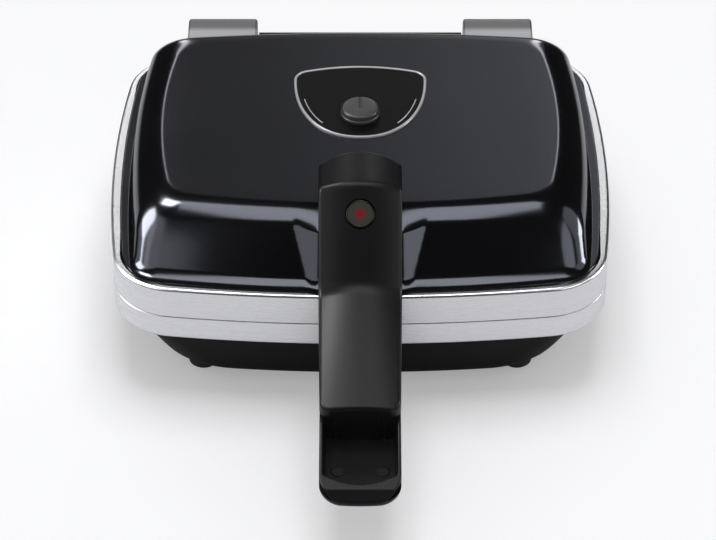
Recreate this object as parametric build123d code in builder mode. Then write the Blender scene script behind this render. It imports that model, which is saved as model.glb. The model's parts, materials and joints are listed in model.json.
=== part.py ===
from build123d import *
import os
from math import atan2, cos, radians, sin, sqrt, tan

# A countertop cooker with a hinged lid and two waffle plates, closed, standing on its feet.
# X is across, the handle points to -Y, the hinge is at +Y and Z = 0 is the worktop. Sizes in mm.

# Overall size
body_width = 264
body_depth = 223
handle_reach = 120
foot_height = 4.5
band_bottom = 43
seam_height = 57
band_top = 75
lid_top = 103
handle_top = 123

# Hinge, which settles how far the part reaches behind the bands
hinge_inset = 54
hinge_spacing = body_width - 2 * hinge_inset
rod_radius = 3
rod_fit = 0.05
hub_radius = 6.5
hinge_gap = 1
float_travel = 8
hinge_reach = hinge_gap + 2 * hub_radius

# Places along Y that follow from the overall size
front_y = handle_reach - (body_depth + handle_reach + hinge_reach) / 2
rear_y = front_y + body_depth
plate_y = (front_y + rear_y) / 2
pivot_y = rear_y + hinge_gap + hub_radius

# Outline of the steel bands, seen from above
side_bulge = 3.5
front_bulge = 10
rear_bulge = 6
corner_radius = 32

# Steel bands
band_wall = 1.2
band_lip = 4
band_edge_radius = 2
seam_gap = 0.8
part_gap = 0.3

# Decks that carry the plates
deck_thickness = 1.5
deck_drop = 4
deck_inset = 2
frame_inset = 4.3
frame_wall = 2.7
deck_screw_y = 62
deck_screw_head = 2.9
deck_screw_head_height = 1.6
deck_screw_shank = 1.4
deck_screw_length = 5.5
deck_boss_radius = 3.6
deck_boss_shift = 0.6

# Waffle plates
field_ridge = 13
field_side_margin = 29.5
field_end_margin = 36.5
field_width = (body_width - field_ridge) / 2 - field_side_margin
field_depth = body_depth - 2 * field_end_margin
field_corner = 5
pocket_depth = 11
pocket_draft = 12
peg_columns = 4
peg_rows = 6
peg_width = 15
peg_depth = 16
peg_margin_x = 6
peg_margin_y = 5.75
peg_pitch_x = (field_width - 2 * peg_margin_x - peg_width) / (peg_columns - 1)
peg_pitch_y = (field_depth - 2 * peg_margin_y - peg_depth) / (peg_rows - 1)
peg_height = 8
peg_draft = 18
plate_wall = 3.5
plate_floor = 3
plate_corner = 8
lip_width = 12
lip_thickness = 2.5
lip_corner = 14
groove_gap = 5
groove_width = 2.5
groove_depth = 1
lug_width = 14
lug_depth = 4
field_offset = (field_ridge + field_width) / 2
field_edge_x = field_offset + field_width / 2

# Heating elements, reflectors and their clips
element_radius = 3.25
element_inset_x = 18.5
element_inset_y = 17
element_half_x = field_edge_x - element_inset_x
element_half_y = field_depth / 2 - element_inset_y
element_bend = 20
element_end_x = 27
element_end_length = 24
reflector_inset_x = 4.5
reflector_inset_y = 1
reflector_half_x = field_edge_x - reflector_inset_x
reflector_half_y = field_depth / 2 - reflector_inset_y
reflector_corner = 14
reflector_wall = 0.8
reflector_rise = 2.5
reflector_depth = 24
clip_width = 8
clip_thickness = 1
plate_clip_width = 16
plate_clip_inset = 42.5
plate_clip_x = field_edge_x - plate_clip_inset
plate_clip_drop = 8
plate_clip_reach = 10

# Lower tub
tub_side_inset = 17
tub_front_inset = 14
tub_rear_inset = 14
tub_corner = 22
tub_draft = 11
tub_wall = 2.5
tub_edge_radius = 5
tub_flange = 2.5
tub_post_radius = 4.5
tub_post_inset_x = 18
tub_post_inset_y = 19
tub_post_x = reflector_half_x - tub_post_inset_x
tub_post_y = reflector_half_y - tub_post_inset_y
vent_count = 7
vent_pitch = 12
vent_length = 42
vent_width = 3

# Feet
foot_radius = 8
foot_inset_x = 48
foot_inset_y = 39.5
foot_x = body_width / 2 - foot_inset_x
foot_y = body_depth / 2 - foot_inset_y
foot_chamfer = 1
foot_socket = 1.5

# Lid cover: upright sides and a long front slope under one wide roll
lid_wall = 1.4
flange_inset = 3
flange_thickness = 1.2
dome_corner = 13
dome_side_bulge = 8
crown_side_inset = 26.7
crown_front_inset = 44.3
crown_rear_inset = 28
crown_corner = 19
crown_roll = 17
roll_turns = (0, 10, 20, 30, 40, 55, 70)
side_slope = radians(87)
front_slope = radians(40)
boss_top_half = 36
boss_foot_half = 27
boss_top_push = 4.8
boss_foot_push = 1.8
boss_rear_y = 70
boss_drop = 1

# Upper handle, as seen from the side
handle_half_width = 21.5
handle_end_half_width = 20.3
handle_rear_y = 62.5
handle_shoulder_y = 35
handle_bend_y = -4
handle_bend_height = 84.4
handle_end_y = -74
handle_end_height = 65.5
handle_undercut = 3
handle_edge_radius = 2
handle_crown = 3
handle_bend_radius = 16
handle_shoulder_radius = 6
handle_nose_sag = 10.5
handle_nose_corner = 6
handle_end_corner = 6
handle_cut_height = 8
handle_screw_x = 9
handle_screw_y = 52
handle_screw_radius = 2
handle_screw_head = 3.5
handle_screw_head_height = 2.2
handle_screw_length = 12

# Lower handle
grip_half_width = 20.2
grip_bottom = 35.5
grip_tray_y = -73
grip_tray_end_y = -111.5
grip_tray_floor = 44
grip_lip_height = 46
grip_lip_y = -115
grip_chin_y = -113.5
grip_wall = 1.8
grip_tip_height = 43
grip_tip_depth = 3.2
grip_edge_radius = 2.5
grip_tip_corner = 11
grip_tip_bow = 2
grip_tray_bow = 5
grip_tray_corner = 3
strap_half_width = 13
strap_thickness = 2.5
strap_height = 38
strap_front_y = -104
strap_rear_y = 34
strap_seat = 12
grip_screw_x = 11
grip_screw_y = -98
grip_screw_head = 3.2
grip_screw_shank = 1.6
grip_screw_sink = 1.8

# Indicator lamp
lens_radius = 7.6
lens_depth = 3
lens_dome = 0.8
lens_y = 23.1
lamp_radius = 3.6
lamp_length = 8.5

# Badge and thermostat
badge_thickness = 0.8
badge_rim_width = 1.8
badge_rim_height = 1.4
badge_rim_chamfer = 0.45
badge_top_y = 169.3
badge_shoulder_y = 157.5
badge_half_width = 37.5
badge_waist_half = 31
badge_waist_y = 127
badge_foot_half = 13
badge_foot_sag = 2.4
badge_bottom_y = 99.8
badge_shoulder_radius = 6
badge_foot_radius = 12
knob_y = 121
knob_radius = 10.75
knob_height = 7.5
knob_edge_radius = 1.2
knob_notch_width = 2
knob_notch_length = 7
shaft_radius = 3
shaft_gap = 1
thermostat_radius = 13
thermostat_height = 13
bracket_half_x = 24
bracket_half_y = 14
bracket_thickness = 1.2

# Hinge arms, brackets and cover
arm_width = 39
arm_cheek = 8.5
arm_top = 92
arm_rear_radius = 9
arm_edge_radius = 1.5
arm_front_y = 190
arm_screw_height = 84.5
arm_screw_radius = 2
arm_screw_head = 3.5
arm_screw_head_height = 2
arm_screw_length = 12
arm_screw_seat = 3.2
tongue_side_gap = 1
bracket_foot_height = 38.5
bracket_screw_radius = 1.8
bracket_screw_head = 3.2
bracket_screw_head_height = 1.8
notch_radius = 16.2
notch_gap = 1.2
cap_radius = 5
cap_length = 3
cap_edge_radius = 1
cover_gap = 1
cover_half_x = (hinge_spacing - arm_width) / 2 - cover_gap
cover_top = 86
cover_bottom = 63
cover_depth = 5
cover_edge_radius = 4

# Mains inlet
inlet_half_x = 13.5
inlet_half_z = 10
inlet_height = 22.5
inlet_depth = 26
inlet_pocket_half_x = 11.2
inlet_pocket_half_z = 7.6
inlet_pocket_depth = 15
pad_half_x = 20
pad_half_z = 14
pad_depth = 15
blade_width = 2
blade_height = 4
blade_length = 13
blade_pitch = 14
blade_rise = 3.4
blade_drop = 2
blade_tab = 8
terminal_x = 48
terminal_half_x = 18
terminal_half_y = 7
terminal_height = 18
terminal_corner = 1
terminal_y = 184
lead_radius = 1.3
lead_bend = 3
fuse_radius = 2.5
fuse_length = 14
fuse_x = 34

seam_plane = Plane.XY.offset(seam_height)
rim_height = seam_height - seam_gap / 2
deck_height = rim_height - deck_drop
lip_height = rim_height - lip_thickness
plate_bottom = rim_height - pocket_depth - plate_floor
tub_flange_height = band_bottom + band_wall
element_height = plate_bottom - part_gap - element_radius
reflector_height = seam_height - reflector_depth
tub_top = tub_flange_height + tub_flange
deck_screw_x = body_width / 2 - frame_inset - frame_wall - deck_screw_head - side_bulge / 2
tongue_half_width = arm_width / 2 - arm_cheek - tongue_side_gap
bracket_front_y = rear_y - tub_rear_inset - rear_bulge / 2 + part_gap
bracket_step_y = rear_y - band_lip - rear_bulge / 2 - part_gap
bracket_screw_y = (bracket_front_y + bracket_step_y) / 2
bracket_screw_x = tongue_half_width - bracket_screw_head
inner_top = lid_top - lid_wall
arm_floor = band_top + flange_thickness + part_gap
arm_screw_y = rear_y - crown_rear_inset + crown_roll - lid_wall - arm_screw_seat
arm_screw_reach = rear_y - front_y - arm_front_y


def y_at(distance):
    """The Y place that lies a distance behind the front of the bands."""
    return front_y + distance


def barrel(half_x, front, rear, radius, bow=side_bulge):
    """An outline of four bowed sides with rounded corners."""
    corner_x = half_x - bow
    corner_front = front + front_bulge
    corner_rear = rear - rear_bulge
    middle = (front + rear) / 2
    with BuildSketch() as outline:
        with BuildLine():
            ThreePointArc((-corner_x, corner_front), (0, front), (corner_x, corner_front))
            ThreePointArc((corner_x, corner_front), (half_x, middle), (corner_x, corner_rear))
            ThreePointArc((corner_x, corner_rear), (0, rear), (-corner_x, corner_rear))
            ThreePointArc((-corner_x, corner_rear), (-half_x, middle), (-corner_x, corner_front))
        make_face()
        fillet(outline.vertices(), radius)
    return outline.sketch


def body_outline(inset):
    """The bands' outline, moved in by an inset."""
    return barrel(body_width / 2 - inset, front_y + inset, rear_y - inset, corner_radius - inset)


def tub_outline(inset):
    """The tub's outline, moved in by an inset."""
    return barrel(
        body_width / 2 - tub_side_inset - inset,
        front_y + tub_front_inset + inset,
        rear_y - tub_rear_inset - inset,
        tub_corner - inset / 2,
    )


def band_ring(bottom, top):
    """A pressed steel ring with rounded edges and a lip turned in at each edge."""
    with BuildPart() as ring:
        with BuildSketch(Plane.XY.offset(bottom)):
            add(body_outline(0))
        extrude(amount=top - bottom)
        fillet(ring.edges().group_by(Axis.Z)[0] + ring.edges().group_by(Axis.Z)[-1], band_edge_radius)
        with BuildSketch(Plane.XY.offset(bottom + band_wall)):
            add(body_outline(band_wall))
        extrude(amount=top - bottom - 2 * band_wall, mode=Mode.SUBTRACT)
        with BuildSketch(Plane.XY.offset(bottom)):
            add(body_outline(band_lip))
        extrude(amount=top - bottom, mode=Mode.SUBTRACT)
    return ring.part


def wall_reach(depth, slope, roll):
    """How far a wall stands out from the level crown, at a depth below it: first the roll, then straight."""
    roll_depth = roll * (1 - cos(slope))
    if depth < roll_depth:
        return sqrt(roll**2 - (roll - depth) ** 2)
    return roll * sin(slope) + (depth - roll_depth) / tan(slope)


def dome(grow):
    """The lid cover's raised form, grown outwards by a distance, through contours from crown to foot."""
    roll = crown_roll + grow
    rise = lid_top + grow - band_top
    depths = [roll * (1 - cos(radians(turn))) for turn in roll_turns]
    depths += [roll * (1 - cos(side_slope)), rise]
    with BuildPart() as form:
        for depth in depths:
            side_reach = wall_reach(depth, side_slope, roll)
            front_reach = wall_reach(depth, front_slope, roll)
            with BuildSketch(Plane.XY.offset(lid_top + grow - depth)):
                add(
                    barrel(
                        body_width / 2 - crown_side_inset + side_reach,
                        y_at(crown_front_inset) - front_reach,
                        rear_y - crown_rear_inset + side_reach,
                        crown_corner + (dome_corner - crown_corner) * depth / rise,
                        dome_side_bulge,
                    )
                )
        loft(ruled=True)
    return form.part


def handle_boss(grow):
    """The seat that carries the handle on the front slope, a wedge that fades out to both sides."""
    rise = lid_top - band_top
    foot_y = y_at(crown_front_inset) - wall_reach(rise, front_slope, crown_roll)
    top_y = foot_y + rise / tan(front_slope)
    with BuildPart() as seat:
        for height, outer, slope_y, push in (
            (band_top, boss_foot_half, foot_y, boss_foot_push),
            (lid_top - boss_drop, boss_top_half, top_y, boss_top_push),
        ):
            with BuildSketch(Plane.XY.offset(height + grow)):
                with BuildLine():
                    Polyline(
                        (-outer - grow, slope_y),
                        (-handle_half_width - grow, slope_y - push - grow),
                        (handle_half_width + grow, slope_y - push - grow),
                        (outer + grow, slope_y),
                        (outer + grow, y_at(boss_rear_y)),
                        (-outer - grow, y_at(boss_rear_y)),
                        close=True,
                    )
                make_face()
        loft(ruled=True)
        top_edges = seat.edges().filter_by(Axis.X).group_by(Axis.Z)[-1]
        fillet(top_edges.sort_by(Axis.Y)[0], crown_roll + grow)
    return seat.part


def hinge_places():
    """The X places of the two hinges."""
    return (-hinge_spacing / 2, hinge_spacing / 2)


def hinge_notch():
    """Room for the base brackets in the lid's rear edge, as the lid turns."""
    with BuildPart() as notch:
        for x in hinge_places():
            with BuildSketch(Plane.YZ.offset(x)):
                with Locations((pivot_y, seam_height)):
                    Circle(notch_radius)
            extrude(amount=(arm_width - 2 * arm_cheek) / 2, both=True)
    return notch.part


# Base tub: a drafted basin, a flange under the lower band and a wall that carries the deck
with BuildPart() as base_tub:
    for level, inset in ((foot_height, tub_draft), (tub_top, 0)):
        with BuildSketch(Plane.XY.offset(level)):
            add(tub_outline(inset))
    loft()
    fillet(base_tub.edges().group_by(Axis.Z)[0], tub_edge_radius)
    with BuildSketch(Plane.XZ.offset(-rear_y + tub_rear_inset)):
        with Locations((0, inlet_height)):
            RectangleRounded(2 * pad_half_x, 2 * pad_half_z, tub_wall)
    extrude(amount=pad_depth)
    with BuildSketch(Plane.XY.offset(tub_flange_height)):
        add(body_outline(band_wall + part_gap))
    extrude(amount=tub_flange)
    for level, inset in ((foot_height + tub_wall, tub_draft + tub_wall), (tub_top, tub_wall)):
        with BuildSketch(Plane.XY.offset(level)):
            add(tub_outline(inset))
    loft(mode=Mode.SUBTRACT)
    with BuildSketch(Plane.XY.offset(tub_top)):
        add(body_outline(frame_inset))
        add(body_outline(frame_inset + frame_wall), mode=Mode.SUBTRACT)
    extrude(amount=deck_height - tub_top)
    with BuildSketch(Plane.XY.offset(foot_height)):
        with Locations((0, plate_y)):
            with GridLocations(2 * tub_post_x, 2 * tub_post_y, 2, 2):
                Circle(tub_post_radius)
    extrude(amount=reflector_height - foot_height)
    with BuildSketch(Plane.XY.offset(foot_height)):
        with Locations((0, y_at(strap_rear_y))):
            Rectangle(2 * strap_half_width, strap_seat, align=(Align.CENTER, Align.MAX))
    extrude(amount=strap_height - foot_height)
    with BuildSketch(Plane.XY.offset(tub_top)):
        with Locations((0, plate_y)):
            with GridLocations(2 * (deck_screw_x + deck_boss_shift), 2 * deck_screw_y, 2, 2):
                Circle(deck_boss_radius)
    extrude(amount=deck_height - tub_top)
    with BuildSketch(Plane.XY.offset(tub_top)):
        with Locations((0, plate_y)):
            with GridLocations(2 * deck_screw_x, 2 * deck_screw_y, 2, 2):
                Circle(deck_screw_shank + rod_fit)
    extrude(amount=deck_height - tub_top, mode=Mode.SUBTRACT)
    with BuildSketch(Plane.XZ.offset(-rear_y + tub_rear_inset)):
        with Locations((0, inlet_height)):
            Rectangle(2 * (inlet_half_x + part_gap), 2 * (inlet_half_z + part_gap))
    extrude(amount=2 * inlet_depth, mode=Mode.SUBTRACT)
    with BuildSketch(Plane.XZ.offset(-front_y - tub_rear_inset / 2)):
        with Locations((0, strap_height + strap_thickness / 2)):
            Rectangle(2 * (strap_half_width + part_gap), strap_thickness + 2 * part_gap)
    extrude(amount=-2 * tub_rear_inset, mode=Mode.SUBTRACT)
    with BuildSketch(Plane.XY.offset(foot_height)):
        with Locations((0, plate_y)):
            with GridLocations(vent_pitch, 0, vent_count, 1):
                SlotOverall(vent_length, vent_width, rotation=90)
    extrude(amount=tub_wall, mode=Mode.SUBTRACT)
    with BuildSketch(Plane.XY.offset(foot_height)):
        with Locations((0, plate_y)):
            with GridLocations(2 * foot_x, 2 * foot_y, 2, 2):
                Circle(foot_radius + part_gap)
    extrude(amount=foot_socket, mode=Mode.SUBTRACT)
    with BuildSketch(Plane.XY.offset(tub_flange_height)):
        for x in hinge_places():
            with Locations((x, bracket_screw_y)):
                with GridLocations(2 * bracket_screw_x, 0, 2, 1):
                    Circle(bracket_screw_radius + rod_fit)
    extrude(amount=tub_flange, mode=Mode.SUBTRACT)
base_tub.part.label = "base_tub"

# Feet: rubber pads in shallow sockets
with BuildPart() as feet:
    with BuildSketch(Plane.XY):
        with Locations((0, plate_y)):
            with GridLocations(2 * foot_x, 2 * foot_y, 2, 2):
                Circle(foot_radius)
    extrude(amount=foot_height + foot_socket)
    chamfer(feet.edges().group_by(Axis.Z)[0], foot_chamfer)
feet.part.label = "feet"

# Steel bands, one each side of the seam
with BuildPart() as lower_band:
    add(band_ring(band_bottom, rim_height))
lower_band.part.label = "lower_band"

with BuildPart() as upper_band:
    add(band_ring(rim_height + seam_gap, band_top))
    add(hinge_notch(), mode=Mode.SUBTRACT)
upper_band.part.label = "upper_band"

# Decks: pressed sheets with an opening for the plate
with BuildPart() as lower_deck:
    with BuildSketch(Plane.XY.offset(deck_height)):
        add(body_outline(deck_inset))
        with Locations((0, plate_y)):
            RectangleRounded(
                2 * (field_offset + field_width / 2 + plate_wall + part_gap),
                field_depth + 2 * (plate_wall + part_gap),
                plate_corner + part_gap,
                mode=Mode.SUBTRACT,
            )
            with GridLocations(2 * deck_screw_x, 2 * deck_screw_y, 2, 2):
                Circle(deck_screw_shank + part_gap, mode=Mode.SUBTRACT)
    extrude(amount=deck_thickness)
lower_deck.part.label = "lower_deck"

with BuildPart() as upper_deck:
    mirror(lower_deck.part, about=seam_plane)
    add(hinge_notch(), mode=Mode.SUBTRACT)
upper_deck.part.label = "upper_deck"

with BuildPart() as lower_deck_screws:
    with BuildSketch(Plane.XY.offset(deck_height + deck_thickness)):
        with Locations((0, plate_y)):
            with GridLocations(2 * deck_screw_x, 2 * deck_screw_y, 2, 2):
                Circle(deck_screw_head)
    extrude(amount=deck_screw_head_height)
    with BuildSketch(Plane.XY.offset(deck_height + deck_thickness)):
        with Locations((0, plate_y)):
            with GridLocations(2 * deck_screw_x, 2 * deck_screw_y, 2, 2):
                Circle(deck_screw_shank)
    extrude(amount=-deck_screw_length)
lower_deck_screws.part.label = "lower_deck_screws"

with BuildPart() as upper_deck_screws:
    mirror(lower_deck_screws.part, about=seam_plane)
upper_deck_screws.part.label = "upper_deck_screws"

# Frame inside the upper band: carries the lid cover on the upper deck
with BuildPart() as upper_frame:
    frame_bottom = 2 * seam_height - deck_height
    with BuildSketch(Plane.XY.offset(frame_bottom)):
        add(body_outline(frame_inset))
        add(body_outline(frame_inset + frame_wall), mode=Mode.SUBTRACT)
    extrude(amount=band_top - frame_bottom)
    with BuildSketch(Plane.XY.offset(frame_bottom)):
        with Locations((0, plate_y)):
            with GridLocations(2 * (deck_screw_x + deck_boss_shift), 2 * deck_screw_y, 2, 2):
                Circle(deck_boss_radius)
    extrude(amount=deck_screw_length)
    with BuildSketch(Plane.XY.offset(frame_bottom)):
        with Locations((0, plate_y)):
            with GridLocations(2 * deck_screw_x, 2 * deck_screw_y, 2, 2):
                Circle(deck_screw_shank + rod_fit)
    extrude(amount=deck_screw_length, mode=Mode.SUBTRACT)
    add(hinge_notch(), mode=Mode.SUBTRACT)
upper_frame.part.label = "upper_frame"

# Waffle plates: two fields of drafted pegs in a cast plate with a lip that lies on the deck
with BuildPart() as lower_plate:
    with BuildSketch(Plane.XY.offset(plate_bottom)):
        with Locations((0, plate_y)):
            RectangleRounded(
                2 * (field_offset + field_width / 2 + plate_wall), field_depth + 2 * plate_wall, plate_corner
            )
    extrude(amount=rim_height - plate_bottom)
    with BuildSketch(Plane.XY.offset(lip_height)):
        with Locations((0, plate_y)):
            RectangleRounded(
                2 * (field_offset + field_width / 2 + lip_width), field_depth + 2 * lip_width, lip_corner
            )
            with GridLocations(2 * plate_clip_x, field_depth + 2 * lip_width, 2, 2):
                Rectangle(lug_width, 2 * lug_depth)
    extrude(amount=lip_thickness)
    with BuildSketch(Plane.XY.offset(rim_height)):
        with Locations((0, plate_y)):
            with GridLocations(2 * field_offset, 0, 2, 1):
                RectangleRounded(field_width, field_depth, field_corner)
    extrude(amount=-pocket_depth, taper=pocket_draft, mode=Mode.SUBTRACT)
    with BuildSketch(Plane.XY.offset(rim_height - pocket_depth)):
        with Locations((0, plate_y)):
            with GridLocations(2 * field_offset, 0, 2, 1):
                with GridLocations(peg_pitch_x, peg_pitch_y, peg_columns, peg_rows):
                    Rectangle(peg_width, peg_depth)
    extrude(amount=peg_height, taper=peg_draft)
    with BuildSketch(Plane.XY.offset(rim_height)):
        with Locations((0, plate_y)):
            for distance, mode in ((groove_gap + groove_width, Mode.ADD), (groove_gap, Mode.SUBTRACT)):
                RectangleRounded(
                    2 * (field_edge_x + distance),
                    field_depth + 2 * distance,
                    field_corner + distance,
                    mode=mode,
                )
    extrude(amount=-groove_depth, mode=Mode.SUBTRACT)
lower_plate.part.label = "lower_plate"

with BuildPart() as upper_plate:
    mirror(lower_plate.part, about=seam_plane)
upper_plate.part.label = "upper_plate"

# Heating elements: one tube bent into a loop, both ends at the rear
with BuildPart() as lower_element:
    with BuildLine(Plane.XY.offset(element_height)) as element_route:
        FilletPolyline(
            (-element_end_x, plate_y + element_half_y + element_end_length),
            (-element_end_x, plate_y + element_half_y - element_bend),
            (-element_half_x, plate_y + element_half_y - element_bend),
            (-element_half_x, plate_y - element_half_y),
            (element_half_x, plate_y - element_half_y),
            (element_half_x, plate_y + element_half_y - element_bend),
            (element_end_x, plate_y + element_half_y - element_bend),
            (element_end_x, plate_y + element_half_y + element_end_length),
            radius=element_bend / 2,
        )
    with BuildSketch(Plane(origin=element_route.line @ 0, z_dir=element_route.line % 0)):
        Circle(element_radius)
    sweep()
lower_element.part.label = "lower_element"

with BuildPart() as upper_element:
    mirror(lower_element.part, about=seam_plane)
upper_element.part.label = "upper_element"

# Reflector trays under the lower element and over the upper one
with BuildPart() as lower_reflector:
    with BuildSketch(Plane.XY.offset(reflector_height)):
        with Locations((0, plate_y)):
            RectangleRounded(2 * reflector_half_x, 2 * reflector_half_y, reflector_corner)
    extrude(amount=reflector_rise)
    with BuildSketch(Plane.XY.offset(reflector_height + reflector_wall)):
        with Locations((0, plate_y)):
            RectangleRounded(
                2 * (reflector_half_x - reflector_wall),
                2 * (reflector_half_y - reflector_wall),
                reflector_corner - reflector_wall,
            )
    extrude(amount=reflector_rise, mode=Mode.SUBTRACT)
lower_reflector.part.label = "lower_reflector"

# Element clips: cradles under the tube's side runs, standing on the tray
clip_floor = reflector_height + reflector_wall
with BuildPart() as lower_element_clips:
    for side in (-1, 1):
        for y in (plate_y - element_half_y / 2, plate_y):
            with BuildSketch(Plane.XZ.offset(-y)):
                with Locations((side * element_half_x, element_height)):
                    Rectangle(
                        2 * (element_radius + part_gap + clip_thickness),
                        element_height - clip_floor,
                        align=(Align.CENTER, Align.MAX),
                    )
                    Circle(element_radius + part_gap, mode=Mode.SUBTRACT)
            extrude(amount=clip_width / 2, both=True)
lower_element_clips.part.label = "lower_element_clips"

with BuildPart() as upper_reflector:
    mirror(lower_reflector.part, about=seam_plane)
upper_reflector.part.label = "upper_reflector"

with BuildPart() as upper_element_clips:
    mirror(lower_element_clips.part, about=seam_plane)
upper_element_clips.part.label = "upper_element_clips"

# Lid cover: a pressed shell with a flange on the band, the handle's seat and holes for shaft and screws
with BuildPart() as lid_cover:
    add(dome(0))
    add(handle_boss(0))
    with BuildSketch(Plane.XY.offset(band_top)):
        add(body_outline(flange_inset))
    extrude(amount=flange_thickness)
    add(dome(-lid_wall), mode=Mode.SUBTRACT)
    with BuildSketch(Plane.XY.offset(band_top)):
        with Locations((0, y_at(knob_y))):
            Circle(shaft_radius + shaft_gap)
        with Locations((0, y_at(handle_screw_y))):
            with GridLocations(2 * handle_screw_x, 0, 2, 1):
                Circle(handle_screw_radius + part_gap)
    extrude(amount=lid_top, mode=Mode.SUBTRACT)
    with BuildSketch(Plane.XZ.offset(-plate_y)):
        with Locations((0, arm_screw_height)):
            with GridLocations(hinge_spacing, 0, 2, 1):
                Circle(arm_screw_radius + part_gap)
    extrude(amount=-body_depth / 2, mode=Mode.SUBTRACT)
lid_cover.part.label = "lid_cover"

# Upper handle: from the lid's crown, down the slope and out over the lower handle
slope_angle = atan2(handle_top - handle_bend_height, handle_shoulder_y - handle_bend_y)
lens_height = handle_top - (handle_shoulder_y - lens_y) * tan(slope_angle)
lens_plane = Plane(
    origin=(0, y_at(lens_y), lens_height), x_dir=(1, 0, 0), z_dir=(0, -sin(slope_angle), cos(slope_angle))
)
with BuildPart() as upper_handle:
    seat_height = band_top + flange_thickness + part_gap
    with BuildSketch(Plane.YZ) as handle_side:
        with BuildLine():
            Polyline(
                (y_at(handle_rear_y), lid_top + part_gap),
                (y_at(handle_rear_y), handle_top),
                (y_at(handle_shoulder_y), handle_top),
                (y_at(handle_bend_y), handle_bend_height),
                (y_at(handle_end_y), handle_end_height),
                (y_at(handle_end_y + handle_undercut), rim_height + seam_gap),
                (y_at(-part_gap), rim_height + seam_gap),
                (y_at(-part_gap), seat_height),
                (y_at(handle_shoulder_y), seat_height),
                (y_at(handle_shoulder_y), lid_top + part_gap),
                close=True,
            )
        make_face()
        fillet(
            handle_side.vertices().sort_by_distance((y_at(handle_bend_y), handle_bend_height))[0],
            handle_bend_radius,
        )
        fillet(
            handle_side.vertices().sort_by_distance((y_at(handle_shoulder_y), handle_top))[0],
            handle_shoulder_radius,
        )
    extrude(amount=handle_half_width, both=True)
    with BuildSketch(Plane.XY) as handle_plan:
        with BuildLine():
            nose = ThreePointArc(
                (-handle_half_width, y_at(handle_rear_y - handle_nose_sag)),
                (0, y_at(handle_rear_y)),
                (handle_half_width, y_at(handle_rear_y - handle_nose_sag)),
            )
            Polyline(
                nose @ 1,
                (handle_half_width, y_at(0)),
                (handle_end_half_width, y_at(handle_end_y)),
                (-handle_end_half_width, y_at(handle_end_y)),
                (-handle_half_width, y_at(0)),
                nose @ 0,
            )
        make_face()
        plan_corners = handle_plan.vertices().group_by(Axis.Y)
        fillet(plan_corners[0], handle_end_corner)
        fillet(plan_corners[-1], handle_nose_corner)
    extrude(amount=2 * handle_top, mode=Mode.INTERSECT)
    with BuildLine() as handle_ridge:
        FilletPolyline(
            (0, y_at(handle_rear_y) + handle_cut_height, handle_top),
            (0, y_at(handle_shoulder_y), handle_top),
            (0, y_at(handle_bend_y), handle_bend_height),
            (0, y_at(handle_end_y), handle_end_height),
            radius=handle_shoulder_radius,
        )
    with BuildSketch(Plane(origin=handle_ridge.line @ 0, x_dir=(1, 0, 0), z_dir=handle_ridge.line % 0)):
        with BuildLine():
            brow = ThreePointArc(
                (-handle_half_width, -handle_crown), (0, 0), (handle_half_width, -handle_crown)
            )
            Polyline(
                brow @ 1,
                (handle_half_width, handle_cut_height),
                (-handle_half_width, handle_cut_height),
                brow @ 0,
            )
        make_face()
    sweep(path=handle_ridge.line, mode=Mode.SUBTRACT)
    crown_edges = upper_handle.faces().filter_by(lambda face: face.normal_at().Z > cos(front_slope) / 2).edges()
    rim_edges = crown_edges.filter_by(
        lambda edge: abs(edge.center().X) > handle_end_half_width / 2
        or edge.center().Y > y_at(handle_rear_y - handle_nose_sag)
        or edge.center().Y < y_at(handle_end_y) + handle_end_corner / 2
    )
    fillet(rim_edges, handle_edge_radius)
    add(dome(part_gap), mode=Mode.SUBTRACT)
    add(handle_boss(part_gap), mode=Mode.SUBTRACT)
    with BuildSketch(lens_plane):
        Circle(lens_radius + part_gap)
    extrude(amount=-lens_depth, mode=Mode.SUBTRACT)
    with BuildSketch(lens_plane):
        Circle(lamp_radius + part_gap)
    extrude(amount=-lens_depth - lamp_length - part_gap, mode=Mode.SUBTRACT)
    with BuildSketch(Plane.XY.offset(lid_top)):
        with Locations((0, y_at(handle_screw_y))):
            with GridLocations(2 * handle_screw_x, 0, 2, 1):
                Circle(handle_screw_radius + rod_fit)
    extrude(amount=handle_screw_length, mode=Mode.SUBTRACT)
upper_handle.part.label = "upper_handle"

with BuildPart() as upper_handle_screws:
    with BuildSketch(Plane.XY.offset(inner_top)):
        with Locations((0, y_at(handle_screw_y))):
            with GridLocations(2 * handle_screw_x, 0, 2, 1):
                Circle(handle_screw_head)
    extrude(amount=-handle_screw_head_height)
    with BuildSketch(Plane.XY.offset(inner_top)):
        with Locations((0, y_at(handle_screw_y))):
            with GridLocations(2 * handle_screw_x, 0, 2, 1):
                Circle(handle_screw_radius)
    extrude(amount=handle_screw_length)
upper_handle_screws.part.label = "upper_handle_screws"

with BuildPart() as lamp_lens:
    with BuildSketch(lens_plane):
        Circle(lens_radius)
    extrude(amount=-lens_depth)
    fillet(lamp_lens.faces().sort_by(Axis.Z)[-1].edges(), lens_dome)
lamp_lens.part.label = "lamp_lens"

with BuildPart() as lamp:
    with BuildSketch(lens_plane.offset(-lens_depth)):
        Circle(lamp_radius)
    extrude(amount=-lamp_length)
lamp.part.label = "lamp"

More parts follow.
